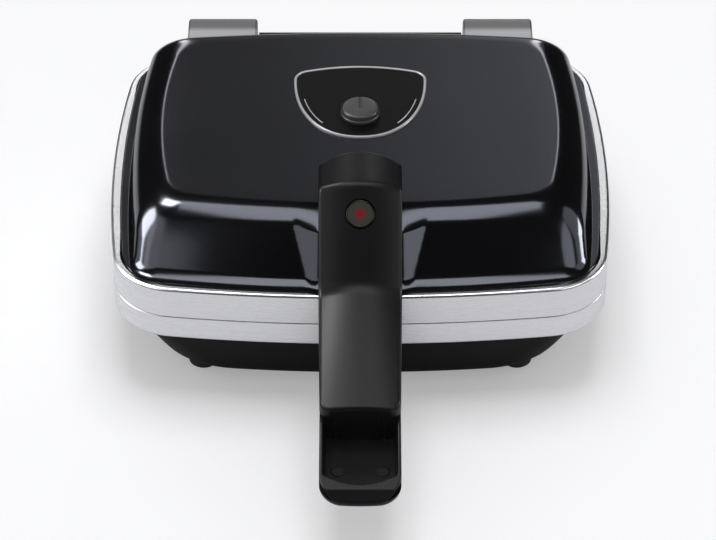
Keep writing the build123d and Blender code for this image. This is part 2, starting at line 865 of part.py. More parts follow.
# Lower handle: a hollow grip on a steel strap, with a tray that the thumb reaches into
with BuildPart() as lower_handle:
    under_band = band_bottom - part_gap
    with BuildSketch(Plane.YZ) as grip_side:
        with BuildLine():
            Polyline(
                (y_at(-part_gap), rim_height),
                (y_at(grip_tray_y), rim_height),
                (y_at(grip_lip_y), grip_lip_height),
                (y_at(-handle_reach), grip_tip_height),
                (y_at(-handle_reach), grip_tip_height - grip_tip_depth),
                (y_at(grip_chin_y), grip_bottom),
                (y_at(tub_front_inset + part_gap), grip_bottom),
                (y_at(tub_front_inset + part_gap), under_band),
                (y_at(-part_gap), under_band),
                close=True,
            )
        make_face()
        for corner in (
            (grip_lip_y, grip_lip_height),
            (-handle_reach, grip_tip_height),
            (-handle_reach, grip_tip_height - grip_tip_depth),
            (grip_chin_y, grip_bottom),
        ):
            fillet(grip_side.vertices().sort_by_distance((y_at(corner[0]), corner[1]))[0], grip_edge_radius)
    extrude(amount=grip_half_width, both=True)
    with BuildSketch(Plane.XY) as grip_plan:
        with BuildLine():
            tip = ThreePointArc(
                (-grip_half_width, y_at(grip_tip_bow - handle_reach)),
                (0, y_at(-handle_reach)),
                (grip_half_width, y_at(grip_tip_bow - handle_reach)),
            )
            Polyline(
                tip @ 1,
                (grip_half_width, y_at(tub_front_inset + part_gap)),
                (-grip_half_width, y_at(tub_front_inset + part_gap)),
                tip @ 0,
            )
        make_face()
        fillet(grip_plan.vertices().group_by(Axis.Y)[0], grip_tip_corner)
    extrude(amount=2 * rim_height, mode=Mode.INTERSECT)
    with BuildSketch(Plane.XY.offset(grip_tray_floor)) as tray_plan:
        tray_half_width = grip_half_width - grip_wall
        with BuildLine():
            tray_front = ThreePointArc(
                (-tray_half_width, y_at(grip_tray_end_y + grip_tray_bow)),
                (0, y_at(grip_tray_end_y)),
                (tray_half_width, y_at(grip_tray_end_y + grip_tray_bow)),
            )
            Polyline(
                tray_front @ 1,
                (tray_half_width, y_at(grip_tray_y)),
                (-tray_half_width, y_at(grip_tray_y)),
                tray_front @ 0,
            )
        make_face()
        fillet(tray_plan.vertices(), grip_tray_corner)
    extrude(amount=rim_height - grip_tray_floor, mode=Mode.SUBTRACT)
    with BuildSketch(Plane.XY.offset(strap_height - part_gap)):
        with Locations((0, y_at(strap_front_y) - part_gap)):
            Rectangle(
                2 * (strap_half_width + part_gap),
                handle_reach + strap_rear_y,
                align=(Align.CENTER, Align.MIN),
            )
    extrude(amount=strap_thickness + 2 * part_gap, mode=Mode.SUBTRACT)
    with BuildSketch(Plane.XY.offset(strap_height)):
        with Locations((0, y_at(grip_screw_y))):
            with GridLocations(2 * grip_screw_x, 0, 2, 1):
                Circle(grip_screw_shank + rod_fit)
    extrude(amount=grip_tray_floor - strap_height, mode=Mode.SUBTRACT)
    with BuildSketch(Plane.XY.offset(grip_tray_floor)):
        with Locations((0, y_at(grip_screw_y))):
            with GridLocations(2 * grip_screw_x, 0, 2, 1):
                Circle(grip_screw_head + part_gap)
    extrude(amount=-grip_screw_sink, mode=Mode.SUBTRACT)
lower_handle.part.label = "lower_handle"

with BuildPart() as lower_handle_strap:
    with BuildSketch(Plane.XY.offset(strap_height)):
        with Locations((0, y_at(strap_front_y))):
            Rectangle(
                2 * strap_half_width, strap_rear_y - strap_front_y, align=(Align.CENTER, Align.MIN)
            )
        with Locations((0, y_at(grip_screw_y))):
            with GridLocations(2 * grip_screw_x, 0, 2, 1):
                Circle(grip_screw_shank + rod_fit, mode=Mode.SUBTRACT)
    extrude(amount=strap_thickness)
lower_handle_strap.part.label = "lower_handle_strap"

with BuildPart() as lower_handle_screws:
    with BuildSketch(Plane.XY.offset(grip_tray_floor - grip_screw_sink)):
        with Locations((0, y_at(grip_screw_y))):
            with GridLocations(2 * grip_screw_x, 0, 2, 1):
                Circle(grip_screw_head)
    extrude(amount=grip_screw_sink - part_gap)
    with BuildSketch(Plane.XY.offset(grip_tray_floor - grip_screw_sink)):
        with Locations((0, y_at(grip_screw_y))):
            with GridLocations(2 * grip_screw_x, 0, 2, 1):
                Circle(grip_screw_shank)
    extrude(amount=strap_height - grip_tray_floor + grip_screw_sink)
lower_handle_screws.part.label = "lower_handle_screws"


def shield(shrink):
    """The badge's outline: a bowed top, drawn-in sides and a short curved foot."""
    with BuildSketch() as outline:
        with BuildLine():
            top = ThreePointArc(
                (-badge_half_width, y_at(badge_shoulder_y)),
                (0, y_at(badge_top_y)),
                (badge_half_width, y_at(badge_shoulder_y)),
            )
            foot = ThreePointArc(
                (-badge_foot_half, y_at(badge_bottom_y + badge_foot_sag)),
                (0, y_at(badge_bottom_y)),
                (badge_foot_half, y_at(badge_bottom_y + badge_foot_sag)),
            )
            ThreePointArc(top @ 0, (-badge_waist_half, y_at(badge_waist_y)), foot @ 0)
            ThreePointArc(top @ 1, (badge_waist_half, y_at(badge_waist_y)), foot @ 1)
        make_face()
        fillet(outline.vertices().group_by(Axis.Y)[-1], badge_shoulder_radius)
        fillet(outline.vertices().group_by(Axis.Y)[0], badge_foot_radius)
        if shrink > 0:
            offset(amount=-shrink, mode=Mode.REPLACE)
    return outline.sketch


# Badge and its bright rim, flat on the crown
with BuildPart() as badge_rim:
    with BuildSketch(Plane.XY.offset(lid_top)):
        add(shield(0))
        add(shield(badge_rim_width), mode=Mode.SUBTRACT)
    extrude(amount=badge_rim_height)
    chamfer(badge_rim.edges().group_by(Axis.Z)[-1], badge_rim_chamfer)
badge_rim.part.label = "badge_rim"

with BuildPart() as badge_plate:
    with BuildSketch(Plane.XY.offset(lid_top)):
        add(shield(badge_rim_width + rod_fit))
        with Locations((0, y_at(knob_y))):
            Circle(shaft_radius + shaft_gap, mode=Mode.SUBTRACT)
    extrude(amount=badge_thickness)
badge_plate.part.label = "badge_plate"

# Thermostat: knob and shaft turn, the body hangs from a bracket under the crown
knob_bottom = lid_top + badge_thickness + part_gap
with BuildPart() as thermostat_knob:
    with BuildSketch(Plane.XY.offset(knob_bottom)):
        with Locations((0, y_at(knob_y))):
            Circle(knob_radius)
    extrude(amount=knob_height)
    fillet(thermostat_knob.edges().group_by(Axis.Z)[-1], knob_edge_radius)
    with BuildSketch(Plane.XY.offset(knob_bottom + knob_height)):
        with Locations((0, y_at(knob_y) + knob_radius - knob_notch_length / 2)):
            Rectangle(knob_notch_width, knob_notch_length)
    extrude(amount=-badge_thickness, mode=Mode.SUBTRACT)
    with BuildSketch(Plane.XY.offset(knob_bottom)):
        with Locations((0, y_at(knob_y))):
            Circle(shaft_radius + rod_fit)
    extrude(amount=knob_height - knob_edge_radius - badge_thickness, mode=Mode.SUBTRACT)
thermostat_knob.part.label = "thermostat_knob"

thermostat_top = inner_top - part_gap - bracket_thickness
shaft_bottom = thermostat_top - thermostat_height + bracket_thickness
with BuildPart() as thermostat_shaft:
    with BuildSketch(Plane.XY.offset(shaft_bottom + part_gap)):
        with Locations((0, y_at(knob_y))):
            Circle(shaft_radius)
    extrude(amount=knob_bottom + knob_height / 2 - shaft_bottom)
thermostat_shaft.part.label = "thermostat_shaft"

with BuildPart() as thermostat_bracket:
    with BuildSketch(Plane.XY.offset(thermostat_top)):
        with Locations((0, y_at(knob_y))):
            RectangleRounded(2 * bracket_half_x, 2 * bracket_half_y, bracket_thickness)
            Circle(shaft_radius + shaft_gap, mode=Mode.SUBTRACT)
    extrude(amount=bracket_thickness)
thermostat_bracket.part.label = "thermostat_bracket"

with BuildPart() as thermostat_body:
    with BuildSketch(Plane.XY.offset(thermostat_top)):
        with Locations((0, y_at(knob_y))):
            Circle(thermostat_radius)
    extrude(amount=-thermostat_height)
    with BuildSketch(Plane.XY.offset(thermostat_top)):
        with Locations((0, y_at(knob_y))):
            Circle(shaft_radius + rod_fit)
    extrude(amount=bracket_thickness - thermostat_height, mode=Mode.SUBTRACT)
thermostat_body.part.label = "thermostat_body"

# Posts that hang the upper reflector from the crown
with BuildPart() as upper_posts:
    with BuildSketch(Plane.XY.offset(inner_top - part_gap)):
        with Locations((0, plate_y)):
            with GridLocations(2 * tub_post_x, 2 * tub_post_y, 2, 2):
                Circle(tub_post_radius)
    extrude(until=Until.NEXT, target=upper_reflector.part, dir=(0, 0, -1))
upper_posts.part.label = "upper_posts"

# Spring clips that hold the plates, fixed under the decks
with BuildPart() as lower_plate_clips:
    wall_y = field_depth / 2 + plate_wall + part_gap
    for side in (-1, 1):
        for x in (-plate_clip_x, plate_clip_x):
            with BuildSketch(Plane.YZ.offset(x)):
                with Locations((plate_y + side * wall_y, deck_height)):
                    Rectangle(
                        plate_clip_reach,
                        clip_thickness,
                        align=(Align.MIN if side > 0 else Align.MAX, Align.MAX),
                    )
                    Rectangle(
                        clip_thickness,
                        plate_clip_drop,
                        align=(Align.MIN if side > 0 else Align.MAX, Align.MAX),
                    )
            extrude(amount=plate_clip_width / 2, both=True)
lower_plate_clips.part.label = "lower_plate_clips"

with BuildPart() as upper_plate_clips:
    mirror(lower_plate_clips.part, about=seam_plane)
upper_plate_clips.part.label = "upper_plate_clips"


def hinge_arm(x):
    """A cast arm over the lid's rear edge, forked at the rod."""
    with BuildPart() as arm:
        with BuildSketch(Plane.YZ.offset(x)) as side:
            with BuildLine():
                Polyline(
                    (pivot_y - hub_radius, seam_height),
                    (pivot_y - hub_radius, arm_floor),
                    (y_at(arm_front_y), arm_floor),
                    (y_at(arm_front_y), arm_top),
                    (pivot_y + hub_radius, arm_top),
                    (pivot_y + hub_radius, seam_height),
                    close=True,
                )
            make_face()
            fillet(side.vertices().sort_by_distance((pivot_y + hub_radius, arm_top))[0], arm_rear_radius)
            with Locations((pivot_y, seam_height)):
                Circle(hub_radius)
        extrude(amount=arm_width / 2, both=True)
        cheek_edges = arm.edges().filter_by(Plane.YZ)
        fillet(cheek_edges.filter_by(lambda edge: edge.center().Z > cover_top), arm_edge_radius)
        with BuildSketch(Plane.YZ.offset(x)):
            with Locations((pivot_y, seam_height)):
                Circle(notch_radius + notch_gap)
        extrude(amount=arm_width / 2 - arm_cheek, both=True, mode=Mode.SUBTRACT)
        with BuildSketch(Plane.YZ.offset(x)):
            with Locations((pivot_y, seam_height)):
                Circle(rod_radius + rod_fit)
        extrude(amount=arm_width, both=True, mode=Mode.SUBTRACT)
        add(dome(part_gap), mode=Mode.SUBTRACT)
        with BuildSketch(Plane.XZ.offset(-y_at(arm_front_y))):
            with Locations((x, arm_screw_height)):
                Circle(arm_screw_radius + rod_fit)
        extrude(amount=-arm_screw_reach, mode=Mode.SUBTRACT)
    return arm.part


def hinge_bracket(x):
    """A foot under the tub's flange and an upright tongue, slotted so that the rod can rise."""
    tongue_top = seam_height + float_travel
    with BuildPart() as bracket:
        with BuildSketch(Plane.YZ.offset(x)):
            with BuildLine():
                crown = ThreePointArc(
                    (pivot_y + hub_radius, tongue_top),
                    (pivot_y, tongue_top + hub_radius),
                    (pivot_y - hub_radius, tongue_top),
                )
                Polyline(
                    crown @ 1,
                    (pivot_y - hub_radius, band_bottom - part_gap),
                    (bracket_step_y, band_bottom - part_gap),
                    (bracket_step_y, tub_flange_height),
                    (bracket_front_y, tub_flange_height),
                    (bracket_front_y, bracket_foot_height),
                    (pivot_y + hub_radius, bracket_foot_height),
                    crown @ 0,
                )
            make_face()
            with Locations((pivot_y, seam_height + float_travel / 2)):
                SlotCenterToCenter(
                    float_travel, 2 * (rod_radius + rod_fit), rotation=90, mode=Mode.SUBTRACT
                )
        extrude(amount=tongue_half_width, both=True)
        with BuildSketch(Plane.XY.offset(bracket_foot_height)):
            with Locations((x, bracket_screw_y)):
                with GridLocations(2 * bracket_screw_x, 0, 2, 1):
                    Circle(bracket_screw_radius + rod_fit)
        extrude(amount=tub_top - bracket_foot_height, mode=Mode.SUBTRACT)
    return bracket.part


left_x, right_x = hinge_places()
with BuildPart() as hinge_arm_left:
    add(hinge_arm(left_x))
hinge_arm_left.part.label = "hinge_arm_left"

with BuildPart() as hinge_arm_right:
    add(hinge_arm(right_x))
hinge_arm_right.part.label = "hinge_arm_right"

with BuildPart() as hinge_bracket_left:
    add(hinge_bracket(left_x))
hinge_bracket_left.part.label = "hinge_bracket_left"

with BuildPart() as hinge_bracket_right:
    add(hinge_bracket(right_x))
hinge_bracket_right.part.label = "hinge_bracket_right"

with BuildPart() as hinge_bracket_screws:
    for x in hinge_places():
        with BuildSketch(Plane.XY.offset(bracket_foot_height)):
            with Locations((x, bracket_screw_y)):
                with GridLocations(2 * bracket_screw_x, 0, 2, 1):
                    Circle(bracket_screw_radius)
        extrude(amount=tub_top - bracket_foot_height)
        with BuildSketch(Plane.XY.offset(bracket_foot_height)):
            with Locations((x, bracket_screw_y)):
                with GridLocations(2 * bracket_screw_x, 0, 2, 1):
                    Circle(bracket_screw_head)
        extrude(amount=-bracket_screw_head_height)
hinge_bracket_screws.part.label = "hinge_bracket_screws"

# Rod through both hinges, with a cap pressed on each end
rod_half_length = hinge_spacing / 2 + arm_width / 2 + part_gap
with BuildPart() as hinge_rod:
    with BuildSketch(Plane.YZ.offset(-rod_half_length)):
        with Locations((pivot_y, seam_height)):
            Circle(rod_radius)
    extrude(amount=2 * rod_half_length)
hinge_rod.part.label = "hinge_rod"

with BuildPart() as hinge_rod_caps:
    for side in (-1, 1):
        with BuildSketch(Plane.YZ.offset(side * rod_half_length)):
            with Locations((pivot_y, seam_height)):
                Circle(cap_radius)
        extrude(amount=side * cap_length)
    cap_ends = hinge_rod_caps.edges().group_by(Axis.X)
    fillet(cap_ends[0] + cap_ends[-1], cap_edge_radius)
hinge_rod_caps.part.label = "hinge_rod_caps"

# Screws from inside the lid into the arms
with BuildPart() as hinge_arm_screws:
    for x in hinge_places():
        with BuildSketch(Plane.XZ.offset(-arm_screw_y)):
            with Locations((x, arm_screw_height)):
                Circle(arm_screw_radius)
        extrude(amount=-arm_screw_length)
        with BuildSketch(Plane.XZ.offset(-arm_screw_y)):
            with Locations((x, arm_screw_height)):
                Circle(arm_screw_head)
        extrude(amount=arm_screw_head_height)
hinge_arm_screws.part.label = "hinge_arm_screws"

# Cover between the hinge arms, over the rod
with BuildPart() as rear_cover:
    cover_front_y = rear_y + seam_gap
    with BuildSketch(Plane.YZ) as cover_side:
        with BuildLine():
            Polyline(
                (y_at(arm_front_y), arm_floor),
                (cover_front_y, arm_floor),
                (cover_front_y, cover_bottom),
                (cover_front_y + cover_depth, cover_bottom),
                (cover_front_y + cover_depth, cover_top),
                (y_at(arm_front_y), cover_top),
                close=True,
            )
        make_face()
        fillet(
            cover_side.vertices().sort_by_distance((cover_front_y + cover_depth, cover_top))[0],
            cover_edge_radius,
        )
    extrude(amount=cover_half_x, both=True)
    add(dome(part_gap), mode=Mode.SUBTRACT)
rear_cover.part.label = "rear_cover"

# Mains inlet in the tub's rear pad
inlet_y = rear_y - tub_rear_inset
blade_places = (
    (-blade_pitch / 2, inlet_height - blade_drop),
    (blade_pitch / 2, inlet_height - blade_drop),
    (0, inlet_height + blade_rise),
)
with BuildPart() as inlet_housing:
    with BuildSketch(Plane.XZ.offset(-inlet_y)):
        with Locations((0, inlet_height)):
            Rectangle(2 * inlet_half_x, 2 * inlet_half_z)
    extrude(amount=inlet_depth)
    with BuildSketch(Plane.XZ.offset(-inlet_y)):
        with Locations((0, inlet_height)):
            RectangleRounded(2 * inlet_pocket_half_x, 2 * inlet_pocket_half_z, blade_width)
    extrude(amount=inlet_pocket_depth, mode=Mode.SUBTRACT)
    with BuildSketch(Plane.XZ.offset(-inlet_y)):
        with Locations(*blade_places):
            Rectangle(blade_width, blade_height)
    extrude(amount=inlet_depth, mode=Mode.SUBTRACT)
inlet_housing.part.label = "inlet_housing"

with BuildPart() as inlet_blades:
    with BuildSketch(Plane.XZ.offset(-inlet_y + inlet_pocket_depth - blade_length)):
        with Locations(*blade_places):
            Rectangle(blade_width, blade_height)
    extrude(amount=inlet_depth - inlet_pocket_depth + blade_length + blade_tab)
inlet_blades.part.label = "inlet_blades"

# Terminal block on the tub's floor, thermal fuse on the upper reflector
tub_floor = foot_height + tub_wall
with BuildPart() as terminal_block:
    with BuildSketch(Plane.XY.offset(tub_floor)):
        with Locations((terminal_x, y_at(terminal_y))):
            RectangleRounded(2 * terminal_half_x, 2 * terminal_half_y, terminal_corner)
    extrude(amount=terminal_height)
terminal_block.part.label = "terminal_block"

with BuildPart() as thermal_fuse:
    fuse_height = 2 * seam_height - reflector_height + fuse_radius + part_gap
    with BuildSketch(Plane.YZ.offset(fuse_x)):
        with Locations((plate_y, fuse_height)):
            Circle(fuse_radius)
    extrude(amount=fuse_length)
thermal_fuse.part.label = "thermal_fuse"


def wire(points):
    """An insulated lead along straight runs and short bends."""
    with BuildPart() as lead:
        with BuildLine() as route:
            FilletPolyline(*points, radius=lead_bend)
        with BuildSketch(Plane(origin=route.line @ 0, z_dir=route.line % 0)):
            Circle(lead_radius)
        sweep(path=route.line)
    return lead.part


element_end_y = plate_y + element_half_y + element_end_length
tab_y = inlet_y - inlet_depth - blade_tab
lead_start_y = element_end_y + part_gap
lead_turn_y = lead_start_y + 2 * lead_bend
lead_low = reflector_height - lead_bend
terminal_top = tub_floor + terminal_height
terminal_front_y = y_at(terminal_y) - terminal_half_y
with BuildPart() as lower_leads:
    add(
        wire(
            (
                (element_end_x, lead_start_y, element_height),
                (element_end_x, lead_turn_y, element_height),
                (element_end_x, lead_turn_y, lead_low),
                (terminal_x - terminal_half_x / 2, y_at(terminal_y), lead_low),
                (terminal_x - terminal_half_x / 2, y_at(terminal_y), terminal_top + part_gap),
            )
        )
    )
    add(
        wire(
            (
                (-element_end_x, lead_start_y, element_height),
                (-element_end_x, lead_turn_y, element_height),
                (-element_end_x, lead_turn_y, lead_low),
                (-element_end_x, tab_y - 2 * lead_bend, lead_low),
                (terminal_x, tab_y - 2 * lead_bend, lead_low),
                (terminal_x, y_at(terminal_y), lead_low),
                (terminal_x, y_at(terminal_y), terminal_top + part_gap),
            )
        )
    )
    for column, (x, z) in enumerate(reversed(blade_places[:2])):
        turn_y = tab_y - (2 + 2 * column) * lead_bend
        target_x = terminal_x - terminal_half_x / 2 + column * terminal_half_x / 2
        add(
            wire(
                (
                    (x, tab_y - part_gap, z),
                    (x, turn_y, z),
                    (target_x, turn_y, z),
                    (target_x, terminal_front_y - part_gap, z),
                )
            )
        )
lower_leads.part.label = "lower_leads"

upper_element_z = 2 * seam_height - element_height
lead_high = thermostat_top - thermostat_height / 2
with BuildPart() as upper_leads:
    for side in (-1, 1):
        add(
            wire(
                (
                    (side * element_end_x, lead_start_y, upper_element_z),
                    (side * element_end_x, lead_turn_y, upper_element_z),
                    (side * element_end_x, lead_turn_y, lead_high),
                    (side * element_end_x, y_at(knob_y), lead_high),
                    (side * (thermostat_radius + part_gap), y_at(knob_y), lead_high),
                )
            )
        )
upper_leads.part.label = "upper_leads"

parts = [
    base_tub,
    feet,
    lower_band,
    lower_deck,
    lower_deck_screws,
    lower_plate,
    lower_plate_clips,
    lower_element,
    lower_element_clips,
    lower_reflector,
    lower_handle,
    lower_handle_strap,
    lower_handle_screws,
    hinge_bracket_left,
    hinge_bracket_right,
    hinge_bracket_screws,
    inlet_housing,
    inlet_blades,
    terminal_block,
    lower_leads,
    hinge_rod,
    hinge_rod_caps,
    lid_cover,
    upper_band,
    upper_frame,
    upper_deck,
    upper_deck_screws,
    upper_plate,
    upper_plate_clips,
    upper_element,
    upper_element_clips,
    upper_reflector,
    upper_posts,
    upper_handle,
    upper_handle_screws,
    lamp_lens,
    lamp,
    badge_rim,
    badge_plate,
    thermostat_bracket,
    thermostat_body,
    thermal_fuse,
    upper_leads,
    hinge_arm_left,
    hinge_arm_right,
    hinge_arm_screws,
    rear_cover,
    thermostat_knob,
    thermostat_shaft,
]

os.makedirs("parts", exist_ok=True)
for piece in parts:
    export_step(piece.part, f"parts/{piece.part.label}.step")
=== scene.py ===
import json
import logging
import math
from dataclasses import dataclass
from enum import Enum

import bpy
import numpy as np
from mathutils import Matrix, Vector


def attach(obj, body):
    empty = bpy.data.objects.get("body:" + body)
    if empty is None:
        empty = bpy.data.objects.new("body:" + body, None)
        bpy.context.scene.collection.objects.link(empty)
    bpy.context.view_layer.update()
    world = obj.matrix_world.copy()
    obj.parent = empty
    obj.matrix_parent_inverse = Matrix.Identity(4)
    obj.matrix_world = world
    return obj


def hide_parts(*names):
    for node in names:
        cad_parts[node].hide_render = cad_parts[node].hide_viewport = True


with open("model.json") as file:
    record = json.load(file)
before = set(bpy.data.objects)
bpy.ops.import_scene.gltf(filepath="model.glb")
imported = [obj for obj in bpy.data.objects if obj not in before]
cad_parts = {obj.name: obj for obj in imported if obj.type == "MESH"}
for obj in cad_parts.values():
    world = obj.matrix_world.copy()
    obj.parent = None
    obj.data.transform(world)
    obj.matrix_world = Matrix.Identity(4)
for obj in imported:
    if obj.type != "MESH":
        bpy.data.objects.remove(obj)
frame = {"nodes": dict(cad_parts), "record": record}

# A countertop cooker with a hinged lid. Sizes are in millimetres and become metres where a mesh is made.
# X is across, the handle points to -Y, the hinge is at +Y and Z = 0 is the worktop.
MM = 0.001
log = logging.getLogger("cooker")

# The body's front and rear, seen from above.
FRONT_Y, REAR_Y = -58.5, 164.5

# Angles in degrees above which an edge is shaded as an edge.
CRISP, PLAIN, MIDDLE, SOFT = 35, 40, 45, 50

Array = np.ndarray
Colour = tuple[float, float, float]
Piece = bpy.types.Object
Material = bpy.types.Material
Node = bpy.types.Node
Socket = bpy.types.NodeSocket
Finishes = dict[str, Material]


class Body(Enum):
    """The CAD bodies that pieces ride on."""

    BASE = "base"
    LID = "lid"
    KNOB = "knob"


# Shapes in the plane


def circle_through(a: Array, b: Array, c: Array) -> tuple[Array, float]:
    """The circle through three points.

    The centre is as far from a as from b and from c, which gives two linear equations.

    Args:
        a, b, c: points in the plane.

    Returns:
        The centre and the radius.
    """
    rows = 2 * np.array([b - a, c - a])
    right = np.array([b @ b - a @ a, c @ c - a @ a])
    centre = np.linalg.solve(rows, right)
    return centre, float(np.linalg.norm(a - centre))


def circles_meet(centre_a: Array, radius_a: float, centre_b: Array, radius_b: float, near: Array) -> Array:
    """Where two circles cross, on the side of a given point.

    Args:
        centre_a, radius_a: the first circle.
        centre_b, radius_b: the second circle.
        near: a point beside the crossing that is wanted.

    Returns:
        The crossing nearer to that point.
    """
    across = centre_b - centre_a
    distance = np.linalg.norm(across)
    along = (radius_a**2 - radius_b**2 + distance**2) / (2 * distance)
    height = math.sqrt(max(radius_a**2 - along**2, 0))
    unit = across / distance
    foot = centre_a + along * unit
    side = height * np.array([-unit[1], unit[0]])
    choices = np.array([foot + side, foot - side])
    return choices[np.argmin(np.linalg.norm(choices - near, axis=1))]


def arc_points(centre: Array, start: Array, end: Array, count: int) -> Array:
    """Points on the shorter arc about a centre, from start up to but without end.

    Args:
        centre: the arc's centre.
        start, end: its ends.
        count: the number of points.

    Returns:
        The points, one row each.
    """
    first = math.atan2(*(start - centre)[::-1])
    turn = math.atan2(*(end - centre)[::-1]) - first
    turn = (turn + math.pi) % (2 * math.pi) - math.pi
    angle = first + turn * np.arange(count) / count
    radius = np.linalg.norm(start - centre)
    return centre + radius * np.column_stack([np.cos(angle), np.sin(angle)])


def toward(centre: Array, target: Array, distance: float) -> Array:
    """The point at a distance from a centre, on the way to a target."""
    return centre + (target - centre) / np.linalg.norm(target - centre) * distance


def lifted(loop: Array, height: float) -> Array:
    """A flat loop's points at a height."""
    return np.column_stack([loop, np.full(len(loop), height)])


@dataclass(frozen=True)
class Barrel:
    """An outline of four bowed sides with rounded corners, seen from above."""

    half_x: float
    front: float
    rear: float
    radius: float
    side_bulge: float = 3.5
    front_bulge: float = 10
    rear_bulge: float = 6

    def points(self, side_count: int, corner_count: int) -> Array:
        """The outline, anticlockwise from the front left corner.

        Each side is an arc through two corners and the side's middle. Each corner is the arc that
        touches both sides, about the point that lies one radius inside them both.

        Args:
            side_count: points on each side.
            corner_count: points on each corner.

        Returns:
            Points in the plane, one row each.
        """
        corner_x = self.half_x - self.side_bulge
        front = self.front + self.front_bulge
        rear = self.rear - self.rear_bulge
        middle = (self.front + self.rear) / 2
        corners = np.array([[-corner_x, front], [corner_x, front], [corner_x, rear], [-corner_x, rear]])
        middles = np.array([[0, self.front], [self.half_x, middle], [0, self.rear], [-self.half_x, middle]])
        sides = [circle_through(corners[i], middles[i], corners[(i + 1) % 4]) for i in range(4)]
        within = [(centre, radius - self.radius) for centre, radius in sides]
        rounds = [circles_meet(*within[i - 1], *within[i], corners[i]) for i in range(4)]
        stretches = []
        for i in range(4):
            (centre_a, radius_a), (centre_b, radius_b) = sides[i - 1], sides[i]
            touch_a, touch_b = toward(centre_a, rounds[i], radius_a), toward(centre_b, rounds[i], radius_b)
            leave_b = toward(centre_b, rounds[(i + 1) % 4], radius_b)
            stretches.append(arc_points(rounds[i], touch_a, touch_b, corner_count))
            stretches.append(arc_points(centre_b, touch_b, leave_b, side_count))
        return np.vstack(stretches)


def outward_normals(loop: Array) -> Array:
    """Unit normals of an anticlockwise closed loop: the tangent turned by a quarter to the right.

    Args:
        loop: the loop's points, one row each.

    Returns:
        One row for each point.
    """
    tangent = np.roll(loop, -1, axis=0) - np.roll(loop, 1, axis=0)
    normal = np.column_stack([tangent[:, 1], -tangent[:, 0]])
    return normal / np.linalg.norm(normal, axis=1, keepdims=True)


def rounded_path(corners: list[tuple[float, float]], radii: tuple[float, ...], steps: int = 14) -> Array:
    """Straight runs joined by arcs that touch both runs.

    Args:
        corners: the path's corners, its two ends included.
        radii: one radius for each inner corner.
        steps: points on each arc.

    Returns:
        The path's points, one row each.
    """
    points = [np.array([corners[0]], float)]
    for before, corner, after, radius in zip(corners, corners[1:], corners[2:], radii):
        corner = np.array(corner, float)
        back = np.array(before, float) - corner
        ahead = np.array(after, float) - corner
        back /= np.linalg.norm(back)
        ahead /= np.linalg.norm(ahead)
        half = math.acos(np.clip(back @ ahead, -1, 1)) / 2
        middle = (back + ahead) / np.linalg.norm(back + ahead)
        centre = corner + middle * radius / math.sin(half)
        reach = radius / math.tan(half)
        points.append(arc_points(centre, corner + back * reach, corner + ahead * reach, steps))
        points.append(np.array([corner + ahead * reach]))
    points.append(np.array([corners[-1]], float))
    return np.vstack(points)


def edge_drop(distance: Array, radius: float) -> Array:
    """How far a rounded edge lies below the face, at a distance in from the edge.

    It is the radius less the height of a quarter circle of that radius.
    """
    short = np.clip(radius - distance, 0, radius)
    return radius - np.sqrt(np.maximum(radius**2 - short**2, 0))


def smooth_step(value: Array, low: float, high: float) -> Array:
    """Rises from 0 at low to 1 at high along a cubic that is level at both ends."""
    share = np.clip((value - low) / (high - low), 0, 1)
    return share * share * (3 - 2 * share)


def clustered(low: float, high: float, count: int) -> Array:
    """Values from low to high that lie closer together near both ends, by a cosine."""
    return low + (high - low) * (1 - np.cos(np.linspace(0, math.pi, count))) / 2


# Meshes


def tube_faces(rings: int, around: int, closed: bool) -> Array:
    """Corner indices of the four-sided faces between closed rings, counted ring by ring.

    Args:
        rings, around: the number of rings and of points on each.
        closed: whether the last ring joins the first.

    Returns:
        Four indices for each face.
    """
    row, column = np.meshgrid(np.arange(rings if closed else rings - 1), np.arange(around), indexing="ij")
    below, after = (row + 1) % rings, (column + 1) % around
    corners = [row * around + column, row * around + after, below * around + after, below * around + column]
    return np.stack(corners, axis=-1).reshape(-1, 4)


def tube_rings(top: Array, bottom: Array, steps: int) -> Array:
    """Rings over a top face, down its right side, back along the under face and up the left side.

    Args:
        top: the top face as section, place across and coordinate.
        bottom: the under face, in the opposite order across.
        steps: points down each side.

    Returns:
        The rings, in the same form.
    """
    share = np.linspace(0, 1, steps + 2)[1:-1][None, :, None]
    right = top[:, -1:] + (bottom[:, :1] - top[:, -1:]) * share
    left = bottom[:, -1:] + (top[:, :1] - bottom[:, -1:]) * share
    return np.concatenate([top, right, bottom, left], axis=1)


